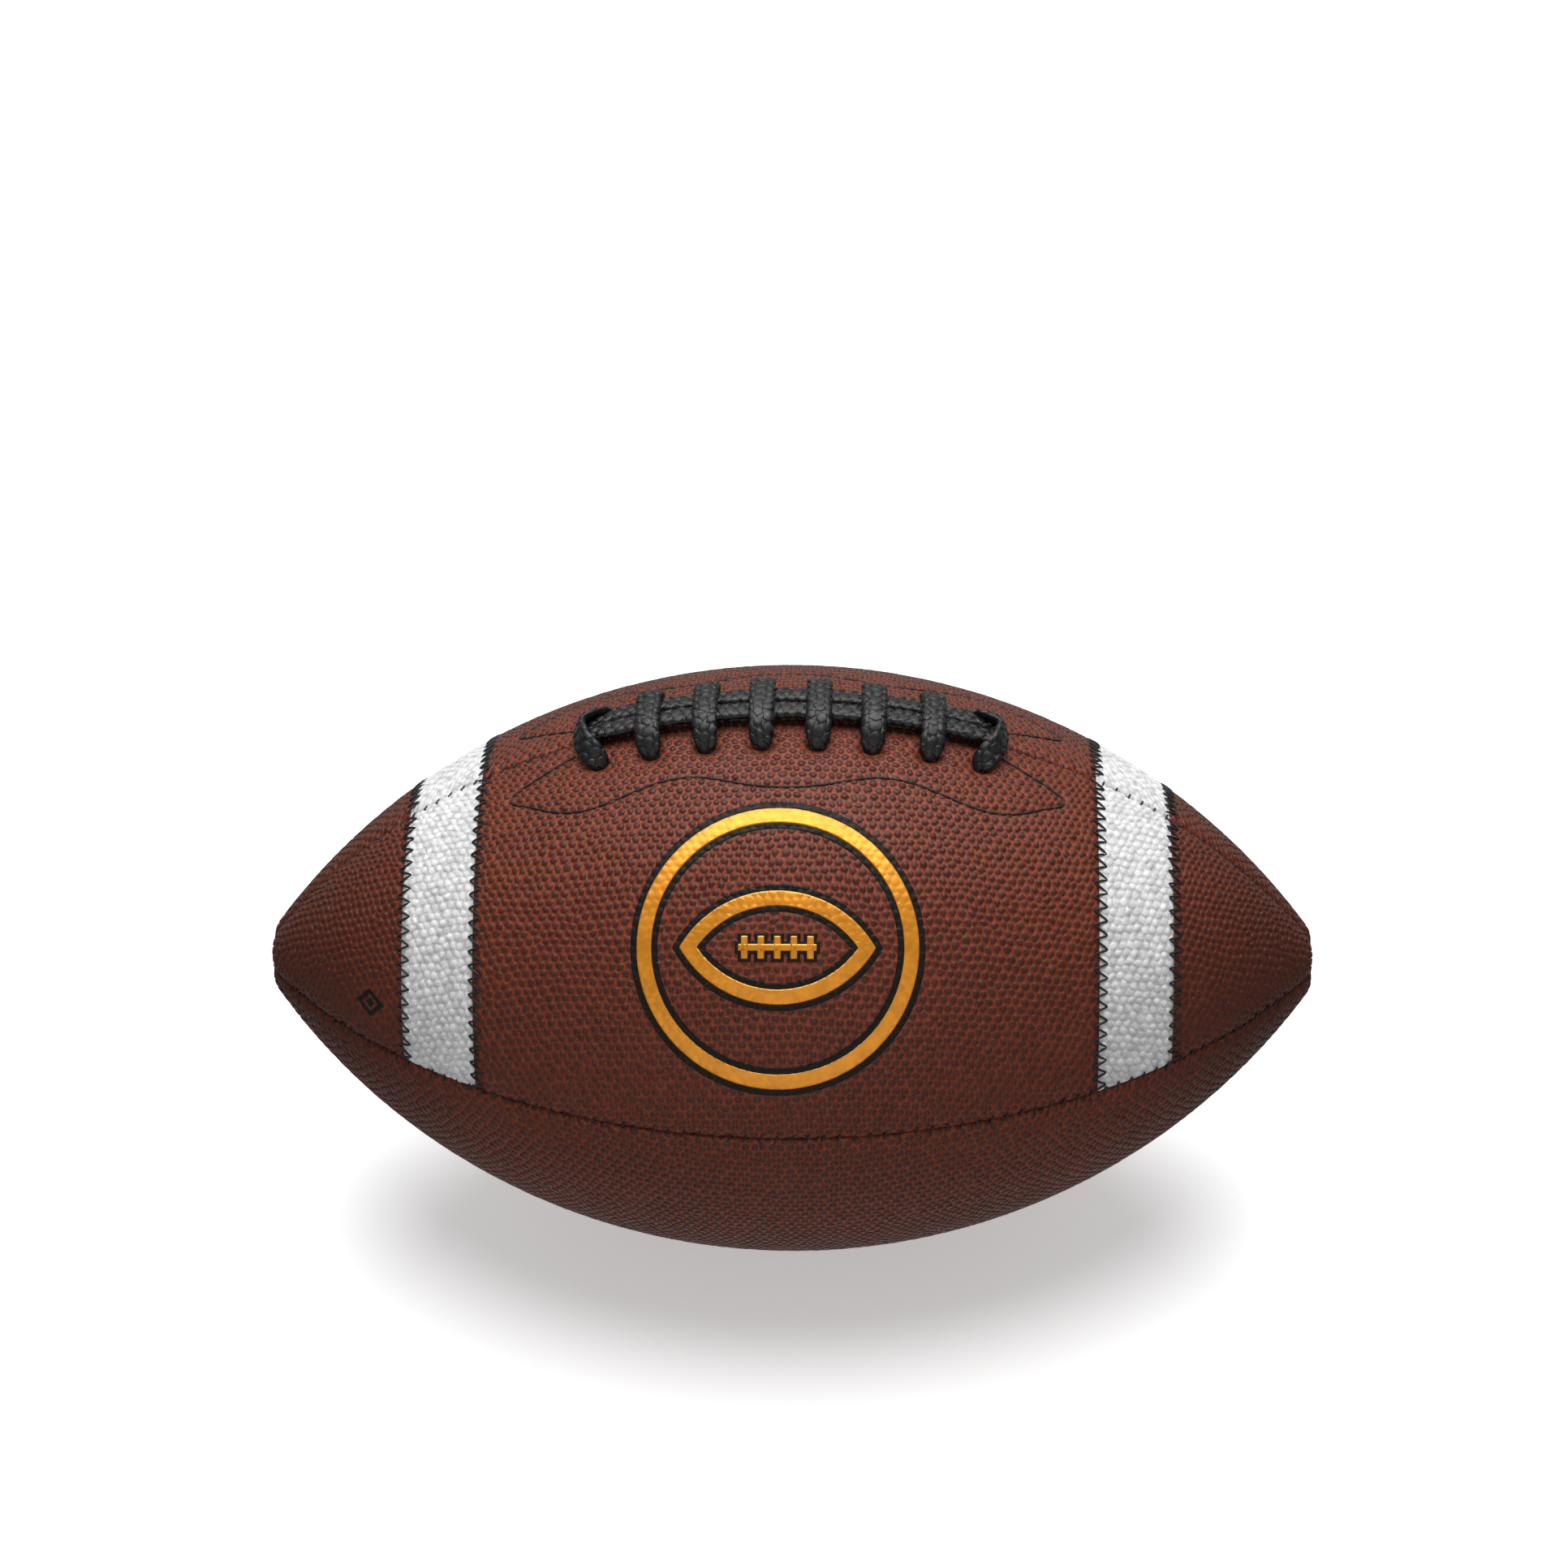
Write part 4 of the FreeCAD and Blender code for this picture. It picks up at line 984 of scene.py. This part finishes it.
# How finely the emblem's bands are divided round and across, and its bars in length.
BAND_STEPS = 560
FOIL_RINGS = 10
KEYLINE_RINGS = 5
BAR_CELL = 0.4 * MM
# The badge's lacing: reach and rise as shares of the badge, stroke spacing and stroke widths.
LACING_REACH = 0.2
LACING_RISE = 0.1
LACING_STEP = 0.42
LACING_STROKE = 1.7 * MM
LACING_KEYLINE = 0.8 * MM
# How high the foil and the print lie on the leather, and how deep their edges go.
FOIL_LIFT = (0.12 * MM, 0.26 * MM)
KEYLINE_LIFT = (0.07 * MM, 0.22 * MM)
MARK_LIFT = (0.07 * MM, 0.2 * MM)
# The small mark: each band's inner and outer share of its half width, rings and steps around.
MARK_BANDS = ((0.6, 1.0, 6, 96), (0.02, 0.3, 4, 48))
# The middle of the mark's outer band, as a share of its whole width.
MARK_MIDDLE = 0.4
# How far over the ball's middle the draping starts.
DRAPE_HEIGHT = 20 * MM


def drape_on(target):
    """A search tree over a finished piece's faces."""
    bm = bmesh.new()
    bm.from_mesh(target.data)
    tree = BVHTree.FromBMesh(bm)
    bm.free()
    return tree


def polar_band(bm, inner, outer, rings, steps):
    """A closed band between two outlines, each given as radius at an angle."""
    verts = [bm.verts.new((1.0 + ring / rings, 0.0, 0.0)) for ring in range(rings + 1)]
    edges = [bm.edges.new((first, second)) for first, second in zip(verts, verts[1:])]
    bmesh.ops.spin(
        bm, geom=verts + edges, cent=(0, 0, 0), axis=(0, 0, 1), angle=2 * math.pi,
        steps=steps, use_merge=True)
    for vert in bm.verts:
        if vert.tag:
            continue
        angle = math.atan2(vert.co.y, vert.co.x)
        share = vert.co.xy.length - 1.0
        radius = inner(angle) + (outer(angle) - inner(angle)) * share
        vert.co = Vector((radius * math.cos(angle), radius * math.sin(angle), 0.0))
        vert.tag = True


def drape(bm, tree, along, angle, lift, depth):
    """Lay flat shapes on the leather, over its pebbles, and turn their edges down into it."""
    outward = Vector((0, -math.sin(angle), math.cos(angle)))
    down = Vector((0, -math.cos(angle), -math.sin(angle)))
    centre = Vector((along, 0, RADIUS))
    for vert in bm.verts:
        start = centre + Vector((vert.co.x, 0, 0)) - down * vert.co.y + outward * (RADIUS + DRAPE_HEIGHT)
        hit = tree.ray_cast(start, -outward)[0]
        if hit is None:
            raise RuntimeError("part of the emblem lies off the leather")
        vert.co = hit + outward * lift
    bmesh.ops.recalc_face_normals(bm, faces=bm.faces[:])
    if sum(face.normal.dot(outward) for face in bm.faces) < 0:
        bmesh.ops.reverse_faces(bm, faces=bm.faces[:])
    rim = [edge for edge in bm.edges if edge.is_boundary]
    made = bmesh.ops.extrude_edge_only(bm, edges=rim)
    for item in made["geom"]:
        if isinstance(item, bmesh.types.BMVert):
            item.co -= outward * depth


def ball_outline(emblem, growth):
    """Radius at an angle of the outlined ball's edge, grown by a distance."""
    half_length = emblem.badge_length / 2
    half_height = emblem.badge_height / 2
    circle = (half_length**2 + half_height**2) / (2 * half_height)
    offset = circle - half_height
    grown = circle + growth

    def radius(angle):
        rise = offset * abs(math.sin(angle))
        return math.sqrt(rise**2 + grown**2 - offset**2) - rise

    return radius


def badge_lacing(emblem):
    """The outlined ball's lacing: one long stroke and five short ones, as (x, y, x, y)."""
    half = emblem.badge_length * LACING_REACH
    rise = emblem.badge_height * LACING_RISE
    strokes = [(-half, 0.0, half, 0.0)]
    for index in range(-2, 3):
        along = index * half * LACING_STEP
        strokes.append((along, -rise, along, rise))
    return strokes


def add_bar(bm, stroke, width, growth):
    """A straight stroke with square ends, as a fine flat grid."""
    start = Vector(stroke[:2])
    stop = Vector(stroke[2:])
    forward = (stop - start).normalized()
    length = (stop - start).length + 2 * growth
    across = Vector((-forward.y, forward.x))
    cells = max(int(length / BAR_CELL), 2)
    rows = max(int((width + 2 * growth) / BAR_CELL), 2)
    made = bmesh.ops.create_grid(bm, x_segments=cells, y_segments=rows, size=0.5)
    for vert in made["verts"]:
        place = (start + stop) / 2 + forward * (vert.co.x * length)
        place += across * (vert.co.y * (width + 2 * growth))
        vert.co = Vector((place.x, place.y, 0.0))
        vert.tag = True


def round_outline(size):
    """Radius at an angle of a circle."""
    return lambda angle: size


def diamond_outline(size):
    """Radius at an angle of a square set on its corner."""
    return lambda angle: size / (abs(math.cos(angle)) + abs(math.sin(angle)))


def make_emblem(scene, foil, dark):
    """A foil ring round an outlined ball, with dark lines beside each stroke."""
    emblem = scene.football_emblem
    tree = drape_on(bpy.data.objects["front_upper_leather"])
    ring = emblem.ring_radius
    stroke = emblem.stroke
    line = emblem.keyline
    bm = bmesh.new()
    polar_band(bm, round_outline(ring - stroke), round_outline(ring), FOIL_RINGS, BAND_STEPS)
    polar_band(bm, ball_outline(emblem, -stroke), ball_outline(emblem, 0.0), FOIL_RINGS, BAND_STEPS)
    for lacing_line in badge_lacing(emblem):
        add_bar(bm, lacing_line, LACING_STROKE, 0.0)
    drape(bm, tree, emblem.emblem_along, emblem.emblem_angle, *FOIL_LIFT)
    finish_mesh(bm, "foil_emblem", foil, ("emblem_foil",))
    bm = bmesh.new()
    for start in (0.0, -stroke - line):
        outer = round_outline(ring + start + line)
        polar_band(bm, round_outline(ring + start), outer, KEYLINE_RINGS, BAND_STEPS)
    for start in (0.0, -stroke - line):
        inner = ball_outline(emblem, start)
        polar_band(bm, inner, ball_outline(emblem, start + line), KEYLINE_RINGS, BAND_STEPS)
    for lacing_line in badge_lacing(emblem):
        add_bar(bm, lacing_line, LACING_STROKE, LACING_KEYLINE)
    drape(bm, tree, emblem.emblem_along, emblem.emblem_angle, *KEYLINE_LIFT)
    finish_mesh(bm, "emblem_keyline", dark, ("emblem_outline",))


def make_mark(scene, dark):
    """A small dark diamond by the left nose."""
    emblem = scene.football_emblem
    tree = drape_on(bpy.data.objects["front_upper_leather"])
    bm = bmesh.new()
    half = emblem.mark_size / 2
    for inner, outer, rings, steps in MARK_BANDS:
        polar_band(bm, diamond_outline(half * inner), diamond_outline(half * outer), rings, steps)
    drape(bm, tree, emblem.mark_along, emblem.mark_angle, *MARK_LIFT)
    finish_mesh(bm, "nose_diamond", dark, ("nose_mark",))


# ---------------------------------------------------------------- finishes

# The middle part of a noise's values, over which it's taken from low to high.
CLOUD = (0.3, 0.7)
# Brown and white leather: how far pores break up the ink, where ink shows on a pebble, and the shine.
PORE_SHARE = 0.18
INK_EDGE = (0.05, 0.42)
LEATHER_SHINE = 0.24
PRINT_SHINE = 0.2
FOIL_METAL = 0.42
# Painted shade towards the noses, where the light falls off: from and to which distance, and its shade.
NOSE_RANGE = (0.075, 0.14)
NOSE_SHADE = 0.22


class Finish:
    """A procedural material under construction."""

    def __init__(self, name):
        self.material = bpy.data.materials.new(name)
        self.material.use_nodes = True
        self.tree = self.material.node_tree
        self.shader = self.tree.nodes["Principled BSDF"]
        self.place = self.add("ShaderNodeTexCoord").outputs["Object"]

    def add(self, kind, settings=None, **inputs):
        """Add a node, set its settings, and set or link its inputs."""
        node = self.tree.nodes.new(kind)
        for name, value in (settings or {}).items():
            setattr(node, name, value)
        for name, value in inputs.items():
            self.join(node.inputs[name.replace("_", " ")], value)
        return node

    def join(self, socket, value):
        """Link a socket to an output, or set its value."""
        if isinstance(value, bpy.types.NodeSocket):
            self.tree.links.new(value, socket)
        else:
            socket.default_value = value

    def set(self, **inputs):
        """Set or link the shader's inputs."""
        for name, value in inputs.items():
            self.join(self.shader.inputs[name.replace("_", " ")], value)

    def noise(self, scale, detail=3.0, roughness=0.5):
        """Cloudy variation at a scale in features per metre."""
        return self.add(
            "ShaderNodeTexNoise", Vector=self.place, Scale=scale, Detail=detail, Roughness=roughness
        ).outputs["Fac"]

    def math(self, operation, first, second=0.0):
        """One sum."""
        node = self.add("ShaderNodeMath", {"operation": operation})
        self.join(node.inputs[0], first)
        self.join(node.inputs[1], second)
        return node.outputs[0]

    def range(self, value, low, high, new_low=0.0, new_high=1.0):
        """A value taken smoothly from one range to another."""
        node = self.add("ShaderNodeMapRange", {"interpolation_type": "SMOOTHSTEP"})
        for index, part in enumerate((value, low, high, new_low, new_high)):
            self.join(node.inputs[index], part)
        return node.outputs[0]

    def cloudy(self, cloud, low=0.0, high=1.0):
        """A value that follows a noise from low to high."""
        return self.range(cloud, *CLOUD, low, high)

    def mix(self, share, first, second):
        """Two colours mixed."""
        node = self.add("ShaderNodeMix", {"data_type": "RGBA"})
        self.join(node.inputs[0], share)
        self.join(node.inputs[6], as_colour(first))
        self.join(node.inputs[7], as_colour(second))
        return node.outputs[2]

    def tint(self, share, colour, dark, light):
        """Colour the surface between a darker and a lighter shade of one colour."""
        self.set(Base_Color=self.mix(share, shade(colour, dark), shade(colour, light)))

    def bump(self, height, distance, strength=1.0):
        """Small relief on the shader's normal."""
        node = self.add("ShaderNodeBump", Height=height, Strength=strength, Distance=distance)
        self.set(Normal=node.outputs["Normal"])


def as_colour(value):
    """A colour with its alpha, or an output as it is."""
    if isinstance(value, bpy.types.NodeSocket):
        return value
    return (*tuple(value)[:3], 1.0)


def shade(colour, factor):
    """A colour made darker or lighter."""
    return tuple(min(part * factor, 1.0) for part in tuple(colour)[:3])


def leather_finish(name, valley, top, wear, painted_nose_shade=0.0):
    """Pebbled leather: grain colour, rubbed ink on the tops, pores, a satin coat, and painted shade towards
    the noses if asked for.
    """
    finish = Finish(name)
    ink = finish.add("ShaderNodeAttribute", {"attribute_name": "ink"}).outputs["Fac"]
    patches = finish.noise(60.0, 4.0)
    blotches = finish.noise(420.0, 3.0)
    pores = finish.noise(4200.0, 4.0, 0.6)
    blotted = finish.math("MULTIPLY", blotches, wear)
    streaks = finish.math("ADD", blotted, finish.math("MULTIPLY", pores, PORE_SHARE))
    rubbed = finish.math("SUBTRACT", finish.math("ADD", ink, streaks), (wear + PORE_SHARE) / 2)
    patchy = finish.range(patches, 0.2, 0.8, 0.82, 1.0)
    tops = finish.math("MULTIPLY", finish.range(rubbed, *INK_EDGE), patchy)
    ground = finish.mix(finish.range(blotches, 0.35, 0.7), shade(valley, 0.78), shade(valley, 1.12))
    inked = finish.mix(finish.cloudy(blotches), shade(top, 0.85), shade(top, 1.2))
    grained = finish.mix(tops, ground, inked)
    # Painted shade: the leather's colour darkens towards the noses, where the light falls off.
    if painted_nose_shade:
        parts = finish.add("ShaderNodeSeparateXYZ", Vector=finish.place)
        far = finish.math("ABSOLUTE", parts.outputs["X"])
        darker = finish.range(far, *NOSE_RANGE, 0.0, painted_nose_shade)
        grained = finish.mix(darker, grained, shade(valley, NOSE_SHADE))
    finish.set(Base_Color=grained)
    finish.set(Roughness=finish.cloudy(blotches, 0.33, 0.46))
    finish.set(Specular_IOR_Level=LEATHER_SHINE)
    finish.bump(finish.math("ADD", pores, finish.math("MULTIPLY", blotches, 1.5)), 0.06 * MM, 0.6)
    return finish.material


def lace_finish(name, colour):
    """Black coated lace: satin bumps, lighter on their tops, with painted shade darkening the grooves."""
    finish = Finish(name)
    ink = finish.add("ShaderNodeAttribute", {"attribute_name": "ink"}).outputs["Fac"]
    cloud = finish.noise(700.0, 3.0)
    pores = finish.noise(6500.0, 4.0, 0.6)
    # Painted shade: the grooves between the bumps are coloured darker than the bumps' patchy tops.
    top_share_over_shaded_grooves = finish.math("MULTIPLY", finish.range(ink, 0.2, 0.9), finish.cloudy(cloud, 0.55, 1.0))
    finish.tint(top_share_over_shaded_grooves, colour, 0.7, 1.5)
    finish.set(Roughness=finish.cloudy(cloud, 0.34, 0.5))
    finish.bump(finish.math("ADD", pores, cloud), 0.035 * MM, 0.6)
    return finish.material


def thread_finish(name, colour):
    """Bonded polyester thread with its twist."""
    finish = Finish(name)
    twist = finish.add(
        "ShaderNodeTexWave", {"wave_type": "BANDS", "bands_direction": "DIAGONAL"},
        Vector=finish.place, Scale=900.0, Distortion=2.0, Detail=2.0).outputs["Fac"]
    cloud = finish.noise(900.0)
    finish.tint(cloud, colour, 0.7, 2.2)
    finish.set(Roughness=finish.cloudy(cloud, 0.45, 0.65))
    finish.bump(twist, 0.05 * MM, 0.7)
    return finish.material


def foil_finish(name, colour):
    """Hot-stamped gold foil, a little cracked and rubbed."""
    finish = Finish(name)
    cloud = finish.noise(260.0, 4.0)
    fine = finish.noise(5200.0, 4.0, 0.65)
    finish.tint(finish.cloudy(cloud), colour, 0.86, 1.08)
    finish.set(Roughness=finish.cloudy(fine, 0.28, 0.42))
    finish.set(Metallic=FOIL_METAL)
    finish.bump(finish.math("ADD", fine, cloud), 0.03 * MM, 0.6)
    return finish.material


def print_finish(name, colour):
    """Dark stamped print on leather."""
    finish = Finish(name)
    cloud = finish.noise(500.0, 4.0)
    fine = finish.noise(5200.0, 4.0, 0.65)
    finish.tint(cloud, colour, 0.6, 1.6)
    finish.set(Specular_IOR_Level=PRINT_SHINE)
    finish.set(Roughness=finish.cloudy(fine, 0.4, 0.6))
    finish.bump(fine, 0.03 * MM, 0.6)
    return finish.material


def cloth_finish(name, colour, pitch):
    """Woven backing cloth: two crossed sets of yarns."""
    finish = Finish(name)
    warp = finish.add(
        "ShaderNodeTexWave", {"wave_type": "BANDS", "bands_direction": "X"},
        Vector=finish.place, Scale=pitch, Distortion=0.6).outputs["Fac"]
    weft = finish.add(
        "ShaderNodeTexWave", {"wave_type": "BANDS", "bands_direction": "DIAGONAL"},
        Vector=finish.place, Scale=pitch, Distortion=0.6).outputs["Fac"]
    weave = finish.math("MAXIMUM", warp, weft)
    cloud = finish.noise(150.0)
    tone = finish.mix(weave, shade(colour, 0.6), shade(colour, 1.1))
    finish.set(Base_Color=finish.mix(finish.math("MULTIPLY", cloud, 0.4), tone, shade(colour, 0.7)))
    finish.set(Roughness=finish.cloudy(cloud, 0.75, 0.92))
    finish.bump(weave, 0.15 * MM, 0.8)
    return finish.material


def rubber_finish(name, colour):
    """Moulded rubber with dull bloom."""
    finish = Finish(name)
    cloud = finish.noise(180.0, 4.0)
    fine = finish.noise(3800.0, 4.0, 0.6)
    finish.tint(cloud, colour, 0.7, 1.5)
    finish.set(Roughness=finish.cloudy(cloud, 0.5, 0.7))
    finish.bump(fine, 0.04 * MM, 0.5)
    return finish.material


def finish_named(name):
    """A finish that is made once and shared."""
    found = bpy.data.materials.get(name)
    if found:
        return found
    colours = bpy.context.scene.football_colours
    makers = {
        # The brown leather's last number is its painted shade towards the noses.
        "brown_leather": lambda: leather_finish(name, colours.leather, colours.pebble_ink, 0.3, 0.72),
        "white_leather": lambda: leather_finish(name, shade(colours.stripe, 0.93), colours.stripe, 0.3),
        "lace_coat": lambda: lace_finish(name, colours.lace),
        "black_thread": lambda: thread_finish(name, colours.thread),
        "gold_foil": lambda: foil_finish(name, colours.foil),
        "dark_print": lambda: print_finish(name, (0.009, 0.0065, 0.0045)),
        "lining_cloth": lambda: cloth_finish(name, (0.42, 0.38, 0.31), 900.0),
        "facing_cloth": lambda: cloth_finish(name, (0.05, 0.045, 0.045), 1300.0),
        "bladder_rubber": lambda: rubber_finish(name, (0.03, 0.03, 0.032)),
        "valve_rubber": lambda: rubber_finish(name, (0.022, 0.022, 0.023)),
    }
    return makers[name]()


# ---------------------------------------------------------------- operators


class FOOTBALL_OT_panels(bpy.types.Operator):
    """Make the four pebbled brown panels"""

    bl_idname = "football.panels"
    bl_label = "Cover panels"

    def execute(self, context):
        for name in PANELS:
            make_panel(name, context.scene, finish_named("brown_leather"))
        return {"FINISHED"}


class FOOTBALL_OT_stripes(bpy.types.Operator):
    """Make the four white stripes"""

    bl_idname = "football.stripes"
    bl_label = "Stripes"

    def execute(self, context):
        for side_name, side in UPPER_SIDES:
            for end_name, way in ENDS:
                make_stripe(side_name, side, end_name, way, context.scene, finish_named("white_leather"))
        return {"FINISHED"}


class FOOTBALL_OT_sewing(bpy.types.Operator):
    """Sew the seams, the stripes' edges and the line round the lacing"""

    bl_idname = "football.sewing"
    bl_label = "Sewing"

    def execute(self, context):
        thread = finish_named("black_thread")
        for name, number in SEAMS:
            sew_seam(name, number, context.scene, thread)
        for side_name, side in UPPER_SIDES:
            sew_topstitch(side_name, side, context.scene, thread)
            for end_name, way in ENDS:
                sew_zigzag(side_name, side, end_name, way, context.scene, thread)
        return {"FINISHED"}


class FOOTBALL_OT_lace(bpy.types.Operator):
    """Lace the ball"""

    bl_idname = "football.lace"
    bl_label = "Lace"

    def execute(self, context):
        make_lace(context.scene, finish_named("lace_coat"))
        return {"FINISHED"}


class FOOTBALL_OT_emblem(bpy.types.Operator):
    """Stamp the foil emblem and the small mark"""

    bl_idname = "football.emblem"
    bl_label = "Emblem and mark"

    def execute(self, context):
        make_emblem(context.scene, finish_named("gold_foil"), finish_named("dark_print"))
        make_mark(context.scene, finish_named("dark_print"))
        return {"FINISHED"}


class FOOTBALL_OT_inside(bpy.types.Operator):
    """Finish the parts behind the cover and the valve"""

    bl_idname = "football.inside"
    bl_label = "Linings, bladder and valve"

    def execute(self, context):
        finishes = {
            "lining": "lining_cloth", "facing": "facing_cloth", "tongue": "facing_cloth",
            "bladder": "bladder_rubber", "valve": "valve_rubber",
        }
        for name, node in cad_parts.items():
            chosen = [finish for part, finish in finishes.items() if part in name]
            if not chosen or "stitching" in name:
                continue
            node.data.materials.clear()
            node.data.materials.append(finish_named(chosen[0]))
        return {"FINISHED"}


class FOOTBALL_OT_studio(bpy.types.Operator):
    """Set up the floor, lights and camera"""

    bl_idname = "football.studio"
    bl_label = "Studio"

    def execute(self, context):
        make_studio(context.scene)
        return {"FINISHED"}


# ---------------------------------------------------------------- studio

FLOOR_REACH = 40.0
FLOOR_GREYS = (0.86, 0.9)
FLOOR_ROUGHNESS = 0.9
SOFTBOX_HEIGHT = 1.5
# Room light from the sides, as a share of that from the middle.
SIDE_LIGHT = 0.35
# Where the room darkens behind the camera, and where the floor's light begins.
DARK_PATCH = (0.6, 0.97)
HORIZON = (-0.15, 0.1)
SENSOR_WIDTH = 36.0
NEAR_CLIP = 0.05


def add_softbox(scene, name, power, spread, turn):
    """A large, distant softbox, turned about the long axis from straight overhead."""
    light = bpy.data.lights.new(name, "SUN")
    light.angle = spread
    light.energy = power
    softbox = bpy.data.objects.new(name, light)
    softbox.location = (0.0, 0.0, SOFTBOX_HEIGHT)
    softbox.rotation_euler = (turn, 0, 0)
    scene.collection.objects.link(softbox)


def light_room(world, background, studio):
    """Room light that falls off to both sides and behind the camera, and is stronger from the floor."""
    nodes = world.node_tree.nodes
    join = world.node_tree.links.new
    direction = nodes.new("ShaderNodeTexCoord").outputs["Generated"]
    parts = nodes.new("ShaderNodeSeparateXYZ")
    join(direction, parts.inputs[0])
    aside = nodes.new("ShaderNodeMath")
    aside.operation = "ABSOLUTE"
    join(parts.outputs["X"], aside.inputs[0])
    facing = nodes.new("ShaderNodeVectorMath")
    facing.operation = "DOT_PRODUCT"
    elevation = studio.camera_elevation
    facing.inputs[1].default_value = (0.0, -math.cos(elevation), math.sin(elevation))
    join(direction, facing.inputs[0])
    strength = studio.sky
    falls = (
        (aside.outputs[0], 0.0, 1.0, 1.0, SIDE_LIGHT),
        (facing.outputs["Value"], *DARK_PATCH, 1.0, 1 - studio.dark_front),
        (parts.outputs["Z"], *HORIZON, studio.bounce, 1.0))
    for value, start, stop, first, last in falls:
        fall = nodes.new("ShaderNodeMapRange")
        for index, number in enumerate((start, stop, first, last)):
            fall.inputs[index + 1].default_value = number
        join(value, fall.inputs[0])
        product = nodes.new("ShaderNodeMath")
        product.operation = "MULTIPLY"
        join(fall.outputs[0], product.inputs[0])
        if isinstance(strength, float):
            product.inputs[1].default_value = strength
        else:
            join(strength, product.inputs[1])
        strength = product.outputs[0]
    join(strength, background.inputs["Strength"])


def make_studio(scene):
    """A plain pale floor, a large softbox overhead, even room light and the camera."""
    studio = scene.football_studio
    bm = bmesh.new()
    bmesh.ops.create_grid(bm, x_segments=1, y_segments=1, size=FLOOR_REACH)
    mesh = bpy.data.meshes.new("studio_floor")
    bm.to_mesh(mesh)
    bm.free()
    floor = bpy.data.objects.new("studio_floor", mesh)
    scene.collection.objects.link(floor)
    finish = Finish("pale_floor")
    cloud = finish.noise(2.0)
    dark, light = FLOOR_GREYS
    finish.set(Base_Color=finish.mix(cloud, [dark] * 3, [light] * 3), Roughness=FLOOR_ROUGHNESS)
    finish.set(Emission_Color=(1.0, 1.0, 1.0, 1.0), Emission_Strength=studio.table_glow)
    mesh.materials.append(finish.material)
    floor.visible_diffuse = False
    floor.visible_glossy = False

    world = bpy.data.worlds.new("studio_room")
    world.use_nodes = True
    background = world.node_tree.nodes["Background"]
    background.inputs["Color"].default_value = (1.0, 1.0, 1.0, 1.0)
    light_room(world, background, studio)
    scene.world = world

    spread = studio.overhead_spread
    add_softbox(scene, "overhead_softbox", studio.overhead_power, spread, -studio.overhead_lean)
    add_softbox(scene, "front_fill", studio.fill_power, spread, QUARTER - studio.fill_height)

    centre = Vector((0.0, 0.0, RADIUS))
    turned = Matrix.Rotation(studio.camera_azimuth, 3, "Z")
    elevation = studio.camera_elevation
    back = turned @ Vector((0.0, -math.cos(elevation), math.sin(elevation)))
    right = turned @ Vector((1.0, 0.0, 0.0))
    upward = back.cross(right)
    axes = Matrix((right, upward, back)).transposed()
    axes = axes @ Matrix.Rotation(studio.camera_roll, 3, "Z")
    axes = axes @ Matrix.Rotation(studio.camera_tilt, 3, "X") @ Matrix.Rotation(studio.camera_pan, 3, "Y")
    lens = bpy.data.cameras.new("camera")
    lens.sensor_width = SENSOR_WIDTH
    lens.lens = studio.lens
    lens.clip_start = NEAR_CLIP
    camera = bpy.data.objects.new("camera", lens)
    camera.matrix_world = Matrix.Translation(centre + back * studio.camera_distance) @ axes.to_4x4()
    scene.collection.objects.link(camera)
    scene.camera = camera
    scene.view_settings.view_transform = "Standard"
    scene.view_settings.look = "None"


OPERATORS = (
    FOOTBALL_OT_panels, FOOTBALL_OT_stripes, FOOTBALL_OT_sewing, FOOTBALL_OT_lace, FOOTBALL_OT_emblem,
    FOOTBALL_OT_inside, FOOTBALL_OT_studio)


class FOOTBALL_PT_build(bpy.types.Panel):
    """The football's pieces, in the order they are made"""

    bl_label = "Leather football"
    bl_idname = "FOOTBALL_PT_build"
    bl_space_type = "VIEW_3D"
    bl_region_type = "UI"
    bl_category = "Football"

    def draw(self, context):
        for operator in OPERATORS:
            self.layout.operator(operator.bl_idname)


GROUPS = {
    "football_form": FootballForm,
    "football_leather": LeatherSizes,
    "football_lace_grain": LeatherSizes,
    "football_stitches": StitchSizes,
    "football_lace": LaceSizes,
    "football_emblem": EmblemSizes,
    "football_colours": FinishColours,
    "football_studio": StudioSettings,
}


def register():
    """Register the settings, the operators and the panel."""
    for group in dict.fromkeys(GROUPS.values()):
        bpy.utils.register_class(group)
    for name, group in GROUPS.items():
        setattr(bpy.types.Scene, name, PointerProperty(type=group))
    for operator in OPERATORS:
        bpy.utils.register_class(operator)
    bpy.utils.register_class(FOOTBALL_PT_build)


def unregister():
    """Take everything back out."""
    bpy.utils.unregister_class(FOOTBALL_PT_build)
    for operator in reversed(OPERATORS):
        bpy.utils.unregister_class(operator)
    for name in GROUPS:
        delattr(bpy.types.Scene, name)
    for group in dict.fromkeys(GROUPS.values()):
        bpy.utils.unregister_class(group)


# The lace's grain, where it differs from the leather's.
LACE_GRAIN = {
    "shoulder_height": 0.17 * MM, "crown_height": 0.05 * MM, "shoulder_inset": 0.03,
    "crown_inset": 0.055, "pebble_share": 48.5, "scatter": 0.28,
}


def main():
    """Build every piece."""
    register()
    for name, value in LACE_GRAIN.items():
        setattr(bpy.context.scene.football_lace_grain, name, value)
    bpy.ops.football.panels()
    bpy.ops.football.stripes()
    bpy.ops.football.sewing()
    bpy.ops.football.lace()
    bpy.ops.football.emblem()
    bpy.ops.football.inside()
    bpy.ops.football.studio()


if __name__ == "__main__":
    main()
